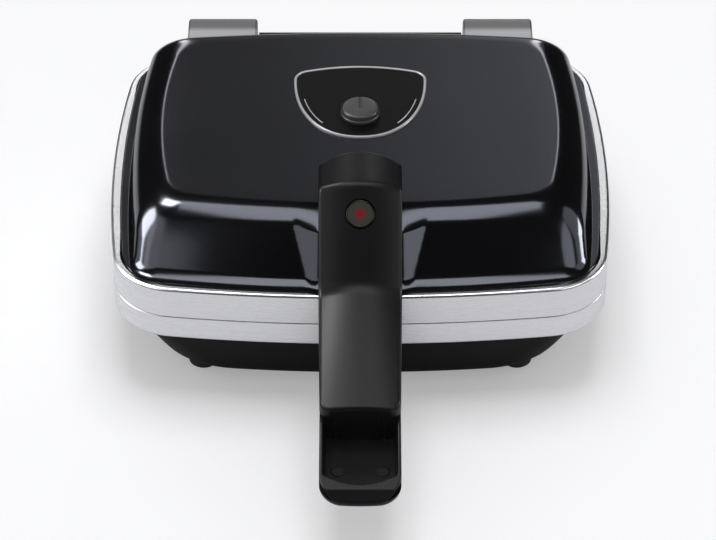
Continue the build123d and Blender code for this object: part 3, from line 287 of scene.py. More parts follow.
def mesh_piece(name: str, points: Array, quads: Array, triangles: Array, sharp: float = PLAIN) -> Piece:
    """A mesh object at the origin from arrays of points in millimetres and faces.

    Faces are turned over together if the closed surface's signed volume comes out negative.

    Args:
        name: the piece's name.
        points: one row of three for each point.
        quads, triangles: corner indices of the faces.
        sharp: the angle in degrees above which an edge is shaded as an edge.

    Returns:
        The new object, linked to the scene.
    """
    split = np.vstack([quads[:, [0, 1, 2]], quads[:, [0, 2, 3]], triangles])
    a, b, c = (points[split[:, i]] for i in range(3))
    if np.einsum("ij,ij->", a, np.cross(b, c)) < 0:
        quads, triangles = quads[:, ::-1], triangles[:, ::-1]
    mesh = bpy.data.meshes.new(name)
    mesh.vertices.add(len(points))
    mesh.vertices.foreach_set("co", (points * MM).astype(np.float32).ravel())
    corners = np.concatenate([quads.ravel(), triangles.ravel()])
    sizes = np.concatenate([np.full(len(quads), 4), np.full(len(triangles), 3)])
    mesh.loops.add(len(corners))
    mesh.loops.foreach_set("vertex_index", corners.astype(np.int32))
    mesh.polygons.add(len(sizes))
    mesh.polygons.foreach_set("loop_start", (np.cumsum(sizes) - sizes).astype(np.int32))
    mesh.update(calc_edges=True)
    mesh.polygons.foreach_set("use_smooth", np.ones(len(sizes), bool))
    mesh.validate()
    mesh.set_sharp_from_angle(angle=math.radians(sharp))
    piece = bpy.data.objects.new(name, mesh)
    bpy.context.scene.collection.objects.link(piece)
    return piece


def ring_piece(name: str, rings: Array, sharp: float = PLAIN) -> Piece:
    """A closed surface through closed rings, with a point in the middle of the first and last ring.

    Args:
        name: the piece's name.
        rings: points as ring, place along the ring, coordinate.
        sharp: as for mesh_piece.

    Returns:
        The new object.
    """
    count, around = rings.shape[:2]
    points = np.vstack([rings.reshape(-1, 3), rings[0].mean(0), rings[-1].mean(0)])
    quads = tube_faces(count, around, False)
    here = np.arange(around)
    after = (here + 1) % around
    first = np.column_stack([after, here, np.full(around, count * around)])
    last_row = (count - 1) * around
    last = np.column_stack([last_row + here, last_row + after, np.full(around, count * around + 1)])
    return mesh_piece(name, points, quads, np.vstack([first, last]), sharp)


def loop_piece(name: str, rings: Array, sharp: float = PLAIN) -> Piece:
    """A closed surface whose last ring joins its first, as on a tube bent into a loop."""
    quads = tube_faces(*rings.shape[:2], True)
    return mesh_piece(name, rings.reshape(-1, 3), quads, np.zeros((0, 3), int), sharp)


def rod(name: str, start: Array, end: Array, radius: float, around: int = 64) -> Piece:
    """A plain cylinder between two points, used to cut holes.

    Args:
        name: the cutter's name.
        start, end: the middles of its two ends.
        radius: its radius.
        around: points round it.

    Returns:
        The new object.
    """
    axis = (end - start) / np.linalg.norm(end - start)
    guide = np.array([1.0, 0, 0]) if abs(axis[0]) < 0.9 else np.array([0, 1.0, 0])
    u = np.cross(axis, guide)
    u /= np.linalg.norm(u)
    v = np.cross(axis, u)
    angle = np.linspace(0, 2 * math.pi, around, endpoint=False)[:, None]
    circle = radius * (np.cos(angle) * u + np.sin(angle) * v)
    return ring_piece(name, np.stack([start + circle, end + circle]))


def carve(piece: Piece, cutters: list[Piece], sharp: float = PLAIN) -> None:
    """Cuts the cutters' shapes out of a piece and removes them.

    Args:
        piece: the piece to cut.
        cutters: closed meshes.
        sharp: as for mesh_piece.
    """
    for cutter in cutters:
        cut = piece.modifiers.new("cut", "BOOLEAN")
        cut.operation = "DIFFERENCE"
        cut.solver = "EXACT"
        cut.object = cutter
    made = bpy.data.meshes.new_from_object(piece.evaluated_get(bpy.context.evaluated_depsgraph_get()))
    piece.modifiers.clear()
    piece.data = made
    made.polygons.foreach_set("use_smooth", np.ones(len(made.polygons), bool))
    made.set_sharp_from_angle(angle=math.radians(sharp))
    for cutter in cutters:
        bpy.data.objects.remove(cutter)


def place(piece: Piece, body: Body, material: Material, slot: str, *nodes: str) -> None:
    """Gives a piece its body and finish, and hides the CAD nodes that it stands for.

    Args:
        piece: the new piece.
        body: the body that it rides on.
        material: the piece's finish.
        slot: the record's material slot; not used.
        nodes: the CAD nodes that it replaces.
    """
    piece.data.materials.clear()
    piece.data.materials.append(material)
    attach(piece, body.value)
    if nodes:
        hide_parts(*nodes)
    log.info("%s: %d faces on %s", piece.name, len(piece.data.polygons), body.value)


# Finishes


def grey(level: float, blue: float = 1.0) -> Colour:
    """A grey of that level, with its blue part raised or lowered."""
    return (level, level, level * blue)


class Graph:
    """A shader graph, whose nodes are added and linked one by one."""

    def __init__(self, tree: bpy.types.NodeTree) -> None:
        """Takes a tree with the nodes that it has."""
        self.tree = tree

    def feed(self, node: Node, inputs: dict) -> None:
        """Links or sets sockets of a node.

        Args:
            node: the node.
            inputs: for each socket's name or number, the socket that it is linked to or its value.
        """
        for key, value in inputs.items():
            if isinstance(value, Socket):
                self.tree.links.new(value, node.inputs[key])
            else:
                node.inputs[key].default_value = value

    def add(self, kind: str, inputs: dict | None = None, **settings) -> Node:
        """Adds a node.

        Args:
            kind: the node's type.
            inputs: as for feed.
            settings: values of the node's own settings.

        Returns:
            The node.
        """
        node = self.tree.nodes.new(kind)
        for key, value in settings.items():
            setattr(node, key, value)
        self.feed(node, inputs or {})
        return node

    def math(self, operation: str, *values: Socket | float) -> Socket:
        """One sum of sockets or numbers."""
        return self.add("ShaderNodeMath", dict(enumerate(values)), operation=operation).outputs["Value"]

    def ramp(
        self, value: Socket, low: float, high: float, start: float, end: float, kind: str = "SMOOTHSTEP"
    ) -> Socket:
        """Goes from start to end while a value goes from low to high."""
        inputs = {"Value": value, "From Min": low, "From Max": high, "To Min": start, "To Max": end}
        return self.add("ShaderNodeMapRange", inputs, interpolation_type=kind).outputs["Result"]

    def distance(self, place_on: Socket) -> Socket:
        """How far each place is from the origin."""
        return self.add("ShaderNodeVectorMath", {0: place_on}, operation="LENGTH").outputs["Value"]


class Tree(Graph):
    """A material's graph, round one shader."""

    def __init__(self, name: str) -> None:
        """Starts a material that holds only a shader and its output.

        Args:
            name: the material's name.
        """
        self.material = bpy.data.materials.new(name)
        self.material.use_nodes = True
        super().__init__(self.material.node_tree)
        self.shader = self.tree.nodes["Principled BSDF"]

    def shade(self, inputs: dict) -> None:
        """Links or sets the shader's own sockets."""
        self.feed(self.shader, inputs)

    def where(self, uv: bool = False, **change: tuple[float, float, float]) -> Socket:
        """Places on the piece, moved or scaled.

        Args:
            uv: whether the piece's own map is meant, and not its object coordinates.
            change: Location or Scale.

        Returns:
            The places.
        """
        if uv:
            source = self.add("ShaderNodeUVMap", uv_map="along").outputs["UV"]
        else:
            source = self.add("ShaderNodeTexCoord").outputs["Object"]
        return self.add("ShaderNodeMapping", {"Vector": source, **change}).outputs["Vector"]

    def noise(self, where: Socket, scale: float, detail: float = 3) -> Socket:
        """A cloud pattern's value at each place."""
        inputs = {"Vector": where, "Scale": scale, "Detail": detail}
        return self.add("ShaderNodeTexNoise", inputs).outputs["Fac"]

    def spread(self, value: Socket, low: float, high: float) -> Socket:
        """Spreads a pattern's values over a range: most lie between 0.3 and 0.7."""
        return self.ramp(value, 0.3, 0.7, low, high, "LINEAR")

    def blend(self, share: Socket, first: Socket | Colour, second: Socket | Colour) -> Socket:
        """The first colour where a share is 0 and the second where it is 1.

        Args:
            share: the share of the second.
            first, second: colours, or sockets that hold one.

        Returns:
            The blend.
        """
        first, second = (v if isinstance(v, Socket) else (*v, 1) for v in (first, second))
        node = self.add("ShaderNodeMix", {"A": first, "B": second, "Factor": share}, data_type="RGBA")
        return node.outputs["Result"]

    def tint(self, share: Socket, first: Socket | Colour, second: Socket | Colour) -> None:
        """Colours the shader as blend does."""
        self.shade({"Base Color": self.blend(share, first, second)})

    def bump(self, height: Socket, depth: float) -> None:
        """Raises the surface by a pattern, to a depth in millimetres."""
        node = self.add("ShaderNodeBump", {"Height": height, "Strength": 1, "Distance": depth * MM})
        self.shade({"Normal": node.outputs["Normal"]})


@dataclass(frozen=True)
class Moulded:
    """A moulded or coated surface: fine grain, and slow drift in colour and gloss."""

    name: str
    dark: Colour
    light: Colour
    gloss_low: float
    gloss_high: float
    grain: float = 900
    depth: float = 0.02
    metallic: float = 0
    level: float = 0.5
    sheen: Colour = (1, 1, 1)
    drift: float = 14

    def material(self) -> Material:
        """Makes the finish: colour and roughness follow a slow cloud, height a fine one.

        Returns:
            The material.
        """
        tree = Tree(self.name)
        where = tree.where()
        drift = tree.noise(where, self.drift)
        tree.tint(tree.spread(drift, 0, 1), self.dark, self.light)
        tree.bump(tree.noise(where, self.grain, 2), self.depth)
        rough = tree.spread(drift, self.gloss_low, self.gloss_high)
        tree.shade({"Roughness": rough, "Metallic": self.metallic})
        tree.shade({"Specular IOR Level": self.level, "Specular Tint": (*self.sheen, 1)})
        return tree.material


@dataclass(frozen=True)
class Brushed:
    """Brushed metal: long fine scratches along one direction."""

    name: str
    dark: Colour
    light: Colour
    gloss_low: float
    gloss_high: float
    stretch: tuple[float, float, float] = (6, 1500, 1500)
    depth: float = 0.006
    uv: bool = False

    def material(self) -> Material:
        """Makes the finish: scratches are a cloud that is drawn out along the brushing.

        Returns:
            The material.
        """
        tree = Tree(self.name)
        lines = tree.noise(tree.where(self.uv, Scale=self.stretch), 1, 4)
        tree.tint(tree.spread(lines, 0, 1), self.dark, self.light)
        tree.bump(lines, self.depth)
        tree.shade({"Roughness": tree.spread(lines, self.gloss_low, self.gloss_high), "Metallic": 1})
        return tree.material


@dataclass(frozen=True)
class LensGrey:
    """A smoked lens with fine rings, a dark edge, and a painted red glow where the lamp is under its middle.
    """

    name: str = "lens_grey"
    smoke: Colour = (0.05, 0.05, 0.042)
    # The painted glow's red; glow_inner and glow_outer below are where it is full and where it has faded.
    glow: Colour = (0.22, 0.01, 0.014)
    edge: Colour = (0.006, 0.006, 0.006)
    glow_inner: float = 0.6
    glow_outer: float = 4.6
    edge_width: float = 0.3
    waves: float = 5200
    wave_depth: float = 0.02
    gloss: float = 0.22

    def material(self) -> Material:
        """Makes the finish: everything follows the distance from the lens's middle.

        Returns:
            The material.
        """
        tree = Tree(self.name)
        away = tree.distance(tree.where(Location=tuple(-v * MM for v in Lens.centre())))
        # Painted glow: red in the base colour round the middle, where the lamp under the lens would light it.
        lit = tree.ramp(away, self.glow_inner * MM, self.glow_outer * MM, 1, 0, "SMOOTHERSTEP")
        within = tree.ramp(away, (Lens.rim - self.edge_width) * MM, Lens.rim * MM, 1, 0, "LINEAR")
        tree.tint(within, self.edge, tree.blend(lit, self.smoke, self.glow))
        tree.bump(tree.math("SINE", tree.math("MULTIPLY", away, self.waves)), self.wave_depth)
        tree.shade({"Roughness": self.gloss})
        return tree.material


@dataclass(frozen=True)
class ArmSilver:
    """Satin silver on the hinge arms, with painted shade over the rolled rear edge: the colour goes from lit
    to shaded towards the rear.
    """

    name: str = "hinge_silver"
    # Colours of the painted shade and painted light, then where the painted light ends and the painted shade
    # is full.
    shaded: Colour = grey(0.22, 1.02)
    lit: Colour = grey(0.62, 1.04)
    lit_y: float = 159
    shaded_y: float = 165
    stretch: tuple[float, float, float] = (20, 1400, 1400)
    faint: float = 0.88
    depth: float = 0.004
    gloss_low: float = 0.3
    gloss_high: float = 0.36
    metallic: float = 0.6

    def material(self) -> Material:
        """Makes the finish: fine lines, times a painted light share that falls towards the rear into painted
        shade.

        Returns:
            The material.
        """
        tree = Tree(self.name)
        split = tree.add("ShaderNodeSeparateXYZ", {"Vector": tree.where()}).outputs
        # Painted shade: the share of the lit colour falls to the shaded colour over the rolled rear edge.
        fade = tree.ramp(split["Y"], self.lit_y * MM, self.shaded_y * MM, 1, 0)
        lines = tree.spread(tree.noise(tree.where(Scale=self.stretch), 1, 3), self.faint, 1)
        tree.tint(tree.math("MULTIPLY", fade, lines), self.shaded, self.lit)
        tree.bump(lines, self.depth)
        rough = tree.spread(lines, self.gloss_low, self.gloss_high)
        tree.shade({"Roughness": rough, "Metallic": self.metallic})
        return tree.material


@dataclass(frozen=True)
class LampGlass:
    """The neon lamp's glass, tinted red by a painted glow of its plates."""

    name: str = "lamp_glass"
    dark: Colour = (0.7, 0.12, 0.06)
    light: Colour = (0.9, 0.3, 0.2)
    cloud: float = 300
    gloss: float = 0.08
    clear: float = 0.6

    def material(self) -> Material:
        """Makes the finish.

        Returns:
            The material.
        """
        tree = Tree(self.name)
        # Painted glow: the glass is coloured a cloudy red, as if its plates were lit.
        tree.tint(tree.noise(tree.where(), self.cloud), self.dark, self.light)
        tree.shade({"Roughness": self.gloss, "Transmission Weight": self.clear})
        return tree.material


def make_finishes() -> Finishes:
    """Makes every finish once. All but steel_band and badge_silver have the name of a material slot.

    Returns:
        The materials by name.
    """
    black, black_light, cool = grey(0.003, 1.15), grey(0.005, 1.15), (0.82, 0.85, 1)
    recipes = (
        Moulded("enamel_black", black, black_light, 0.12, 0.15, 260, 0.006, level=0.8, sheen=cool),
        Moulded("handle_plastic", grey(0.008, 1.15), grey(0.011, 1.15), 0.3, 0.36, level=0.19),
        Moulded("plastic_black", grey(0.004), grey(0.006), 0.45, 0.55, depth=0.03, level=0.2),
        Moulded("knob_plastic", grey(0.05), grey(0.07), 0.36, 0.45),
        Moulded("rubber_foot", grey(0.015), grey(0.03), 0.7, 0.85, depth=0.05),
        Moulded("plate_coating", grey(0.02), grey(0.035), 0.28, 0.42, 1400, 0.04),
        Moulded("ceramic_white", grey(0.6, 0.94), grey(0.75, 0.95), 0.3, 0.45),
        Moulded("lead_sleeve", grey(0.5, 0.92), grey(0.68, 0.93), 0.5, 0.65, depth=0.06),
        Moulded("badge_black", grey(0.004), grey(0.005), 0.3, 0.36, depth=0.004, level=0.1),
        Moulded("badge_silver", grey(0.5, 1.03), grey(0.58, 1.03), 0.3, 0.38, metallic=0.15),
        Moulded("steel_dark", grey(0.012), grey(0.02), 0.3, 0.4, metallic=0.5),
        Moulded("steel_zinc", grey(0.55), grey(0.68), 0.25, 0.4, metallic=1),
        Moulded("element_sheath", (0.16, 0.14, 0.12), (0.28, 0.26, 0.24), 0.4, 0.6, 500, metallic=0.8),
        Moulded("brass_plain", (0.6, 0.43, 0.16), (0.72, 0.55, 0.25), 0.2, 0.35, metallic=1),
        Moulded("chrome_trim", grey(0.78), grey(0.84), 0.06, 0.1, depth=0.002, metallic=1),
        Brushed("steel_brushed", grey(0.66, 1.01), grey(0.74, 1.01), 0.24, 0.34),
        Brushed("steel_band", grey(0.84, 1.02), grey(0.92, 1.02), 0.24, 0.32, (14, 2600, 1), uv=True),
        Brushed("steel_plain", grey(0.5), grey(0.62), 0.3, 0.42),
        LensGrey(),
        ArmSilver(),
        LampGlass(),
    )
    return {recipe.name: recipe.material() for recipe in recipes}


# The cooker's sub-assemblies


@dataclass(frozen=True)
class Wall:
    """One side of the lid's raised form: a roll at the crown, a straight slope and a hollow at the foot."""

    slope: float
    roll: float
    foot: float

    def reach(self, depth: Array, rise: float) -> Array:
        """How far the wall stands out from the level crown, at depths below it.

        Down the roll it is the half chord of a circle. Below that it grows along the straight slope.
        Near the foot it follows a circle that touches both the slope and the level flange.

        Args:
            depth: depths below the crown.
            rise: the depth of the flange.

        Returns:
            The distances outwards.
        """
        angle = math.radians(self.slope)
        roll_depth = self.roll * (1 - math.cos(angle))
        on_roll = np.sqrt(np.maximum(self.roll**2 - (self.roll - depth) ** 2, 0))
        straight = self.roll * math.sin(angle) + (depth - roll_depth) / math.tan(angle)
        corner = self.roll * math.sin(angle) + (rise - roll_depth) / math.tan(angle)
        above = np.clip(rise - depth, 0, self.foot)
        hollow = corner + self.foot * math.tan(angle / 2) - np.sqrt(self.foot**2 - (self.foot - above) ** 2)
        reached = np.where(depth < roll_depth, on_roll, straight)
        return np.where(rise - depth < self.foot * (1 - math.cos(angle)), hollow, reached)


@dataclass(frozen=True)
class LidCover:
    """The pressed black cover: a level crown, a long front slope, upright sides and a narrow flange."""

    half_x: float = 132
    half_depth: float = 110
    band_top: float = 75
    crown: float = 103
    flange_top: float = 76.2
    flange_inset: float = 3.2
    flange_corner: float = 29
    flange_bulge: float = 7
    flange_edge: float = 0.5
    crown_side: float = 26.7
    crown_front: float = 44.3
    crown_rear: float = 28
    crown_corner: float = 19
    foot_corner: float = 15
    bulge: float = 8
    foot_bulge: float = 5.8
    side: Wall = Wall(slope=86, roll=17, foot=1.2)
    front: Wall = Wall(slope=44, roll=21, foot=12)
    boss_half: float = 21.5
    boss_top_half: float = 36
    boss_foot_half: float = 27
    boss_push: tuple[float, ...] = (0, 0.5, 4.6, 1.8)
    boss_depth: tuple[float, ...] = (0, 1, 6, 26.8)
    wall: float = 1.4
    seat_gap: float = 0.02
    side_count: int = 110
    corner_count: int = 34
    roll_start: float = 2.5
    roll_count: int = 36
    slope_count: int = 6
    hollow_count: int = 16
    edge_count: int = 6
    inner_step: int = 3
    crown_shares: tuple[float, ...] = (0.12, 0.35, 0.6, 0.85, 1)
    flange_shares: tuple[float, ...] = (0.08, 0.3, 0.6, 0.9)

    @property
    def rise(self) -> float:
        """The height of the crown above the flange."""
        return self.crown - self.flange_top

    def contour(self, depth: float) -> Array:
        """The raised form's outline at a depth below the crown, with the wedge beside the handle.

        Args:
            depth: the depth.

        Returns:
            Points in space, one row each.
        """
        level = np.array([depth])
        share = depth / self.rise
        side, front = self.side.reach(level, self.rise)[0], self.front.reach(level, self.rise)[0]
        loop = Barrel(
            self.half_x - self.crown_side + side,
            FRONT_Y + self.crown_front - front,
            REAR_Y - self.crown_rear + side,
            self.crown_corner + (self.foot_corner - self.crown_corner) * share,
            self.bulge + (self.foot_bulge - self.bulge) * share,
        ).points(self.side_count, self.corner_count)
        outer = self.boss_top_half + (self.boss_foot_half - self.boss_top_half) * share
        wedge = np.clip((outer - np.abs(loop[:, 0])) / (outer - self.boss_half), 0, 1)
        push = np.interp(depth, self.boss_depth, self.boss_push)
        loop[:, 1] -= push * wedge * (loop[:, 1] < 0)
        return lifted(loop, self.crown - depth)

    def depths(self) -> Array:
        """Depths of the contours, by equal turns of the roll and of the front foot's hollow.

        Returns:
            The depths, from the crown down.
        """
        turn = np.radians(np.linspace(self.roll_start, self.side.slope, self.roll_count))
        rolled = self.side.roll * (1 - np.cos(turn))
        hollow_turn = np.radians(np.linspace(self.front.slope, 0, self.hollow_count))
        hollow = self.rise - self.front.foot * (1 - np.cos(hollow_turn))
        between = np.linspace(rolled[-1], hollow[0], self.slope_count + 2)[1:-1]
        return np.concatenate([rolled, between, hollow])

    def outer_rings(self) -> Array:
        """Rings of the outside.

        Returns:
            The rings, from the middle of the crown out to the flange's lower edge.
        """
        contours = [self.contour(depth) for depth in self.depths()]
        first = self.contour(0)
        middle = np.array([0, first[:, 1].mean(), self.crown])
        crown = [middle + (first - middle) * share for share in self.crown_shares]
        foot = contours[-1]
        edges = []
        for turn in np.linspace(0, math.pi / 2, self.edge_count):
            inset = self.flange_inset + self.flange_edge * (1 - math.sin(turn))
            height = self.flange_top - self.flange_edge * (1 - math.cos(turn))
            edges.append(lifted(self.flange(inset), height))
        flange = [foot + (edges[0] - foot) * share for share in self.flange_shares]
        under = edges[-1].copy()
        under[:, 2] = self.band_top + self.seat_gap
        return np.stack([*crown, *contours, *flange, *edges, under])

    def flange(self, inset: float) -> Array:
        """The flange's outline.

        Args:
            inset: how far it is moved in from the body's.

        Returns:
            Points in the plane, one row each.
        """
        sides = self.half_x - inset, FRONT_Y + inset, REAR_Y - inset
        outline = Barrel(*sides, self.flange_corner, self.flange_bulge)
        return outline.points(self.side_count, self.corner_count)

    def build(self, finishes: Finishes) -> None:
        """Makes the cover as one closed shell: its inside is a coarser copy of its outside, moved in.

        Args:
            finishes: the materials by name.
        """
        outer = self.outer_rings()
        inner = outer[: -self.edge_count : self.inner_step].copy()
        middle = np.array([0, outer[..., 1].mean()])
        inner[..., :2] = middle + (inner[..., :2] - middle) * (1 - self.wall / self.half_depth)
        inner[..., 2] = np.maximum(inner[..., 2] - self.wall, self.band_top + self.seat_gap)
        piece = ring_piece("lid_shell", np.concatenate([outer, inner[::-1]]), CRISP)
        place(piece, Body.LID, finishes["enamel_black"], "enamel_black", "lid_cover")


@dataclass(frozen=True)
class Lens:
    """The round indicator lens on the handle's slope."""

    radius: float = 7.4
    rim: float = 6.7
    y: float = -35.4
    z: float = 111.1
    tilt: float = 44.7

    @classmethod
    def centre(cls) -> tuple[float, float, float]:
        """The middle of the lens's face."""
        return (0.0, cls.y, cls.z)

    @classmethod
    def axis(cls) -> Array:
        """The way that the lens faces."""
        angle = math.radians(cls.tilt)
        return np.array([0, -math.sin(angle), math.cos(angle)])


@dataclass(frozen=True)
class UpperHandle:
    """The crowned upper handle, from the crown down the slope and out over the lower handle."""

    half_width: float = 21.5
    end_half_width: float = 20.3
    rear_y: float = 3.2
    nose_sag: float = 6.8
    shoulder_y: float = -24.8
    bend_y: float = -62.5
    end_y: float = -133
    top: float = 123.2
    bend_z: float = 84.6
    end_z: float = 64.6
    under_z: float = 57.4
    shoulder_radius: float = 5
    bend_radius: float = 16
    edge_radius: float = 1.6
    end_corner: float = 7
    crown_rear: float = 4
    crown_shoulder: float = 4.2
    crown_bend: float = 4
    crown_end: float = 2.2
    front_gap: float = 0.3
    lid_gap: float = 0.4
    ring_gap: float = 0.5
    ring_depth: float = 3
    ring_reach: float = 20
    columns: int = 61
    side_steps: int = 6
    lid_samples: int = 120
    end_run: float = 8
    nose_run: float = 14
    nose_y: float = -12
    run_gap: float = 1
    front_before: float = 0.5
    front_after: float = 0.1
    rows: tuple[int, ...] = (22, 60, 76, 34)

    @property
    def nose_radius(self) -> float:
        """The radius of the nose, from its chord and sag."""
        return (self.half_width**2 + self.nose_sag**2) / (2 * self.nose_sag)

    def half_at(self, y: Array) -> Array:
        """Half the width: level, drawn in to the front, round at the nose and at the end's corners.

        Args:
            y: places along the handle.

        Returns:
            Half the width at each.
        """
        plain = np.interp(y, [self.end_y, FRONT_Y], [self.end_half_width, self.half_width])
        nose = np.sqrt(np.maximum(self.nose_radius**2 - (y - self.rear_y + self.nose_radius) ** 2, 0))
        nose = np.where(y > self.rear_y - self.nose_sag, nose, self.half_width)
        drop = edge_drop(y - self.end_y, self.end_corner)
        return np.minimum(plain, nose) - drop

    def top_at(self, x: Array, y: Array) -> Array:
        """Height of the top face: the side view's line, less the crown and the rounded edges.

        Args:
            x, y: places in the plane.

        Returns:
            The height at each.
        """
        stops = (self.rear_y, self.shoulder_y, self.bend_y, self.end_y)
        corners = list(zip(stops, (self.top, self.top, self.bend_z, self.end_z)))
        path = rounded_path(corners, (self.shoulder_radius, self.bend_radius))[::-1]
        line = np.interp(y, path[:, 0], path[:, 1])
        crowns = (self.crown_end, self.crown_bend, self.crown_shoulder, self.crown_rear)
        crown = np.interp(y, stops[::-1], crowns)
        nose = self.nose_radius - np.hypot(x, y - self.rear_y + self.nose_radius)
        nose = np.where(y > self.rear_y - self.nose_radius, nose, self.half_width)
        away = np.minimum(np.minimum(self.half_at(y) - np.abs(x), nose), y - self.end_y)
        return line - crown * (x / self.half_width) ** 2 - edge_drop(away, self.edge_radius)

    def under_at(self, x: Array, y: Array) -> Array:
        """Height of the under face: level in front of the bands, then just inside the lid's slope.

        Args:
            x, y: places in the plane.

        Returns:
            The height at each.
        """
        cover = LidCover()
        depth = np.linspace(0, cover.rise, self.lid_samples)
        contour_y = FRONT_Y + cover.crown_front - cover.front.reach(depth, cover.rise)
        contour_y -= np.interp(depth, cover.boss_depth, cover.boss_push)
        order = np.argsort(contour_y)
        lid = cover.crown - np.interp(y, contour_y[order], depth[order])
        return np.where(y < FRONT_Y - self.front_gap, self.under_z, lid - self.lid_gap)

    def sections(self) -> Array:
        """Places of the cross sections: closer together at the round end and nose.

        Returns:
            Their y, from the end to the nose.
        """
        end, grip, slope, nose = self.rows
        return np.concatenate(
            [
                self.end_y + self.end_run * (1 - np.cos(np.linspace(0, math.pi / 2, end))),
                np.linspace(self.end_y + self.end_run + self.run_gap, FRONT_Y - self.front_before, grip),
                np.linspace(FRONT_Y - self.front_after, self.nose_y, slope),
                self.rear_y - self.nose_run * (1 - np.sin(np.linspace(0, math.pi / 2, nose))),
            ]
        )

    def build(self, finishes: Finishes) -> None:
        """Makes the handle through cross sections, and cuts the lens's seat.

        Args:
            finishes: the materials by name.
        """
        y = self.sections()
        x = self.half_at(y)[:, None] * clustered(-1, 1, self.columns)[None, :]
        rows = np.broadcast_to(y[:, None], x.shape)
        top = np.dstack([x, rows, self.top_at(x, rows)])
        bottom = np.dstack([x, rows, self.under_at(x, rows)])[:, ::-1]
        piece = ring_piece("handle_upper", tube_rings(top, bottom, self.side_steps), SOFT)
        centre, axis = np.array(Lens.centre()), Lens.axis()
        floor, over = centre - axis * self.ring_depth, centre + axis * self.ring_reach
        carve(piece, [rod("seat_cut", floor, over, Lens.radius + self.ring_gap, 96)], SOFT)
        place(piece, Body.LID, finishes["handle_plastic"], "handle_plastic", "upper_handle")


@dataclass(frozen=True)
class LowerHandle:
    """The lower handle: a grip with a sunk tray in front, between two thin rims and a round lip."""

    half_width: float = 20.3
    rear_y: float = -58.8
    tray_y: float = -131.5
    tray_end_y: float = -170
    tray_sag: float = 5.8
    lip_y: float = -172.5
    tip_y: float = -177.6
    top: float = 56.6
    floor: float = 43.6
    lip_z: float = 46.6
    brow_z: float = 44.6
    chin_z: float = 41.5
    bottom: float = 37.4
    wall: float = 1.4
    slope_run: float = 1.6
    corner: float = 11
    bow: float = 2
    edge_radius: float = 0.9
    under_radius: float = 4.5
    tray_front_run: float = 3.5
    tray_rear_run: float = 1.2
    thinnest: float = 0.2
    columns: int = 91
    side_steps: int = 5
    tip_share: float = 0.12
    tip_rows: int = 40
    lip_radii: tuple[float, ...] = (10, 3, 2.5)
    grip_run: float = 2
    brow_run: float = 3
    chin_run: float = 0.5
    runs: tuple[tuple[float, float, int], ...] = ((0.13, 0.38, 40), (0.385, 0.412, 20), (0.43, 1, 18))
    screw_x: float = 11.2
    screw_y: float = -156.5
    screw_head: float = 3.5
    screw_sink: float = 1.8
    screw_reach: float = 8

    def front_at(self, x: Array) -> Array:
        """Y of the tip: a shallow bow, with a quarter circle at each corner."""
        bowed = self.tip_y + self.bow * (x / self.half_width) ** 2
        return bowed + edge_drop(self.half_width - np.abs(x), self.corner)

    def inside(self, x: Array, y: Array) -> Array:
        """Distance in from the outline: to the sides, the tip or the corner circle.

        Args:
            x, y: places in the plane.

        Returns:
            The distance at each.
        """
        side = self.half_width - np.abs(x)
        tip = y - self.tip_y - self.bow * (x / self.half_width) ** 2
        round_x, round_y = self.corner - side, self.corner - tip
        circle = self.corner - np.hypot(np.maximum(round_x, 0), np.maximum(round_y, 0))
        return np.where((round_x > 0) & (round_y > 0), circle, np.minimum(side, tip))

    def top_at(self, x: Array, y: Array) -> Array:
        """Height of the top: level, then rims that fall to the lip, with the tray sunk between them.

        The tray is where none of three steps has risen: to the sides, to the lip and to the grip.

        Args:
            x, y: places in the plane.

        Returns:
            The height at each.
        """
        corners = [(self.rear_y, self.top), (self.tray_y - self.grip_run, self.top), (self.lip_y, self.lip_z)]
        corners += [(self.tip_y + self.brow_run, self.brow_z), (self.tip_y - self.chin_run, self.chin_z)]
        path = rounded_path(corners, self.lip_radii)[::-1]
        rim = np.interp(y, path[:, 0], path[:, 1]) - edge_drop(self.inside(x, y), self.edge_radius)
        rim_x = self.half_width - self.wall
        bowl_side = smooth_step(np.abs(x), rim_x - self.slope_run, rim_x)
        sag = self.tray_sag * (x / rim_x) ** 2
        bowl_front = 1 - smooth_step(y - sag, self.tray_end_y, self.tray_end_y + self.tray_front_run)
        bowl_rear = smooth_step(y, self.tray_y - self.tray_rear_run, self.tray_y)
        share = 1 - (1 - bowl_side) * (1 - bowl_front) * (1 - bowl_rear)
        return self.floor + (rim - self.floor) * share

    def under_at(self, x: Array, y: Array) -> Array:
        """Height of the under face, which turns up round its edges and under the tip."""
        return self.bottom + edge_drop(self.inside(x, y), self.under_radius)

    def build(self, finishes: Finishes) -> None:
        """Makes the grip through cross sections, and cuts the screws' seats.

        Args:
            finishes: the materials by name.
        """
        half = self.half_width * clustered(-1, 1, self.columns)
        front = self.front_at(half)
        tip = self.tip_share * (1 - np.cos(np.linspace(0, math.pi / 2, self.tip_rows)))
        share = np.concatenate([tip, *(np.linspace(*run) for run in self.runs)])
        x = np.broadcast_to(half, (len(share), self.columns))
        rows = front + (self.rear_y - front) * share[:, None]
        top = np.dstack([x, rows, self.top_at(x, rows)])
        under = np.minimum(self.under_at(x, rows), top[..., 2] - self.thinnest)
        bottom = np.dstack([x, rows, under])[:, ::-1]
        piece = ring_piece("handle_lower", tube_rings(top, bottom, self.side_steps), MIDDLE)
        seats = []
        for side in (-1, 1):
            start = np.array([side * self.screw_x, self.screw_y, self.floor - self.screw_sink])
            seats.append(rod("screw_cut", start, start + [0, 0, self.screw_reach], self.screw_head))
        carve(piece, seats, MIDDLE)
        place(piece, Body.BASE, finishes["handle_plastic"], "handle_plastic", "lower_handle")


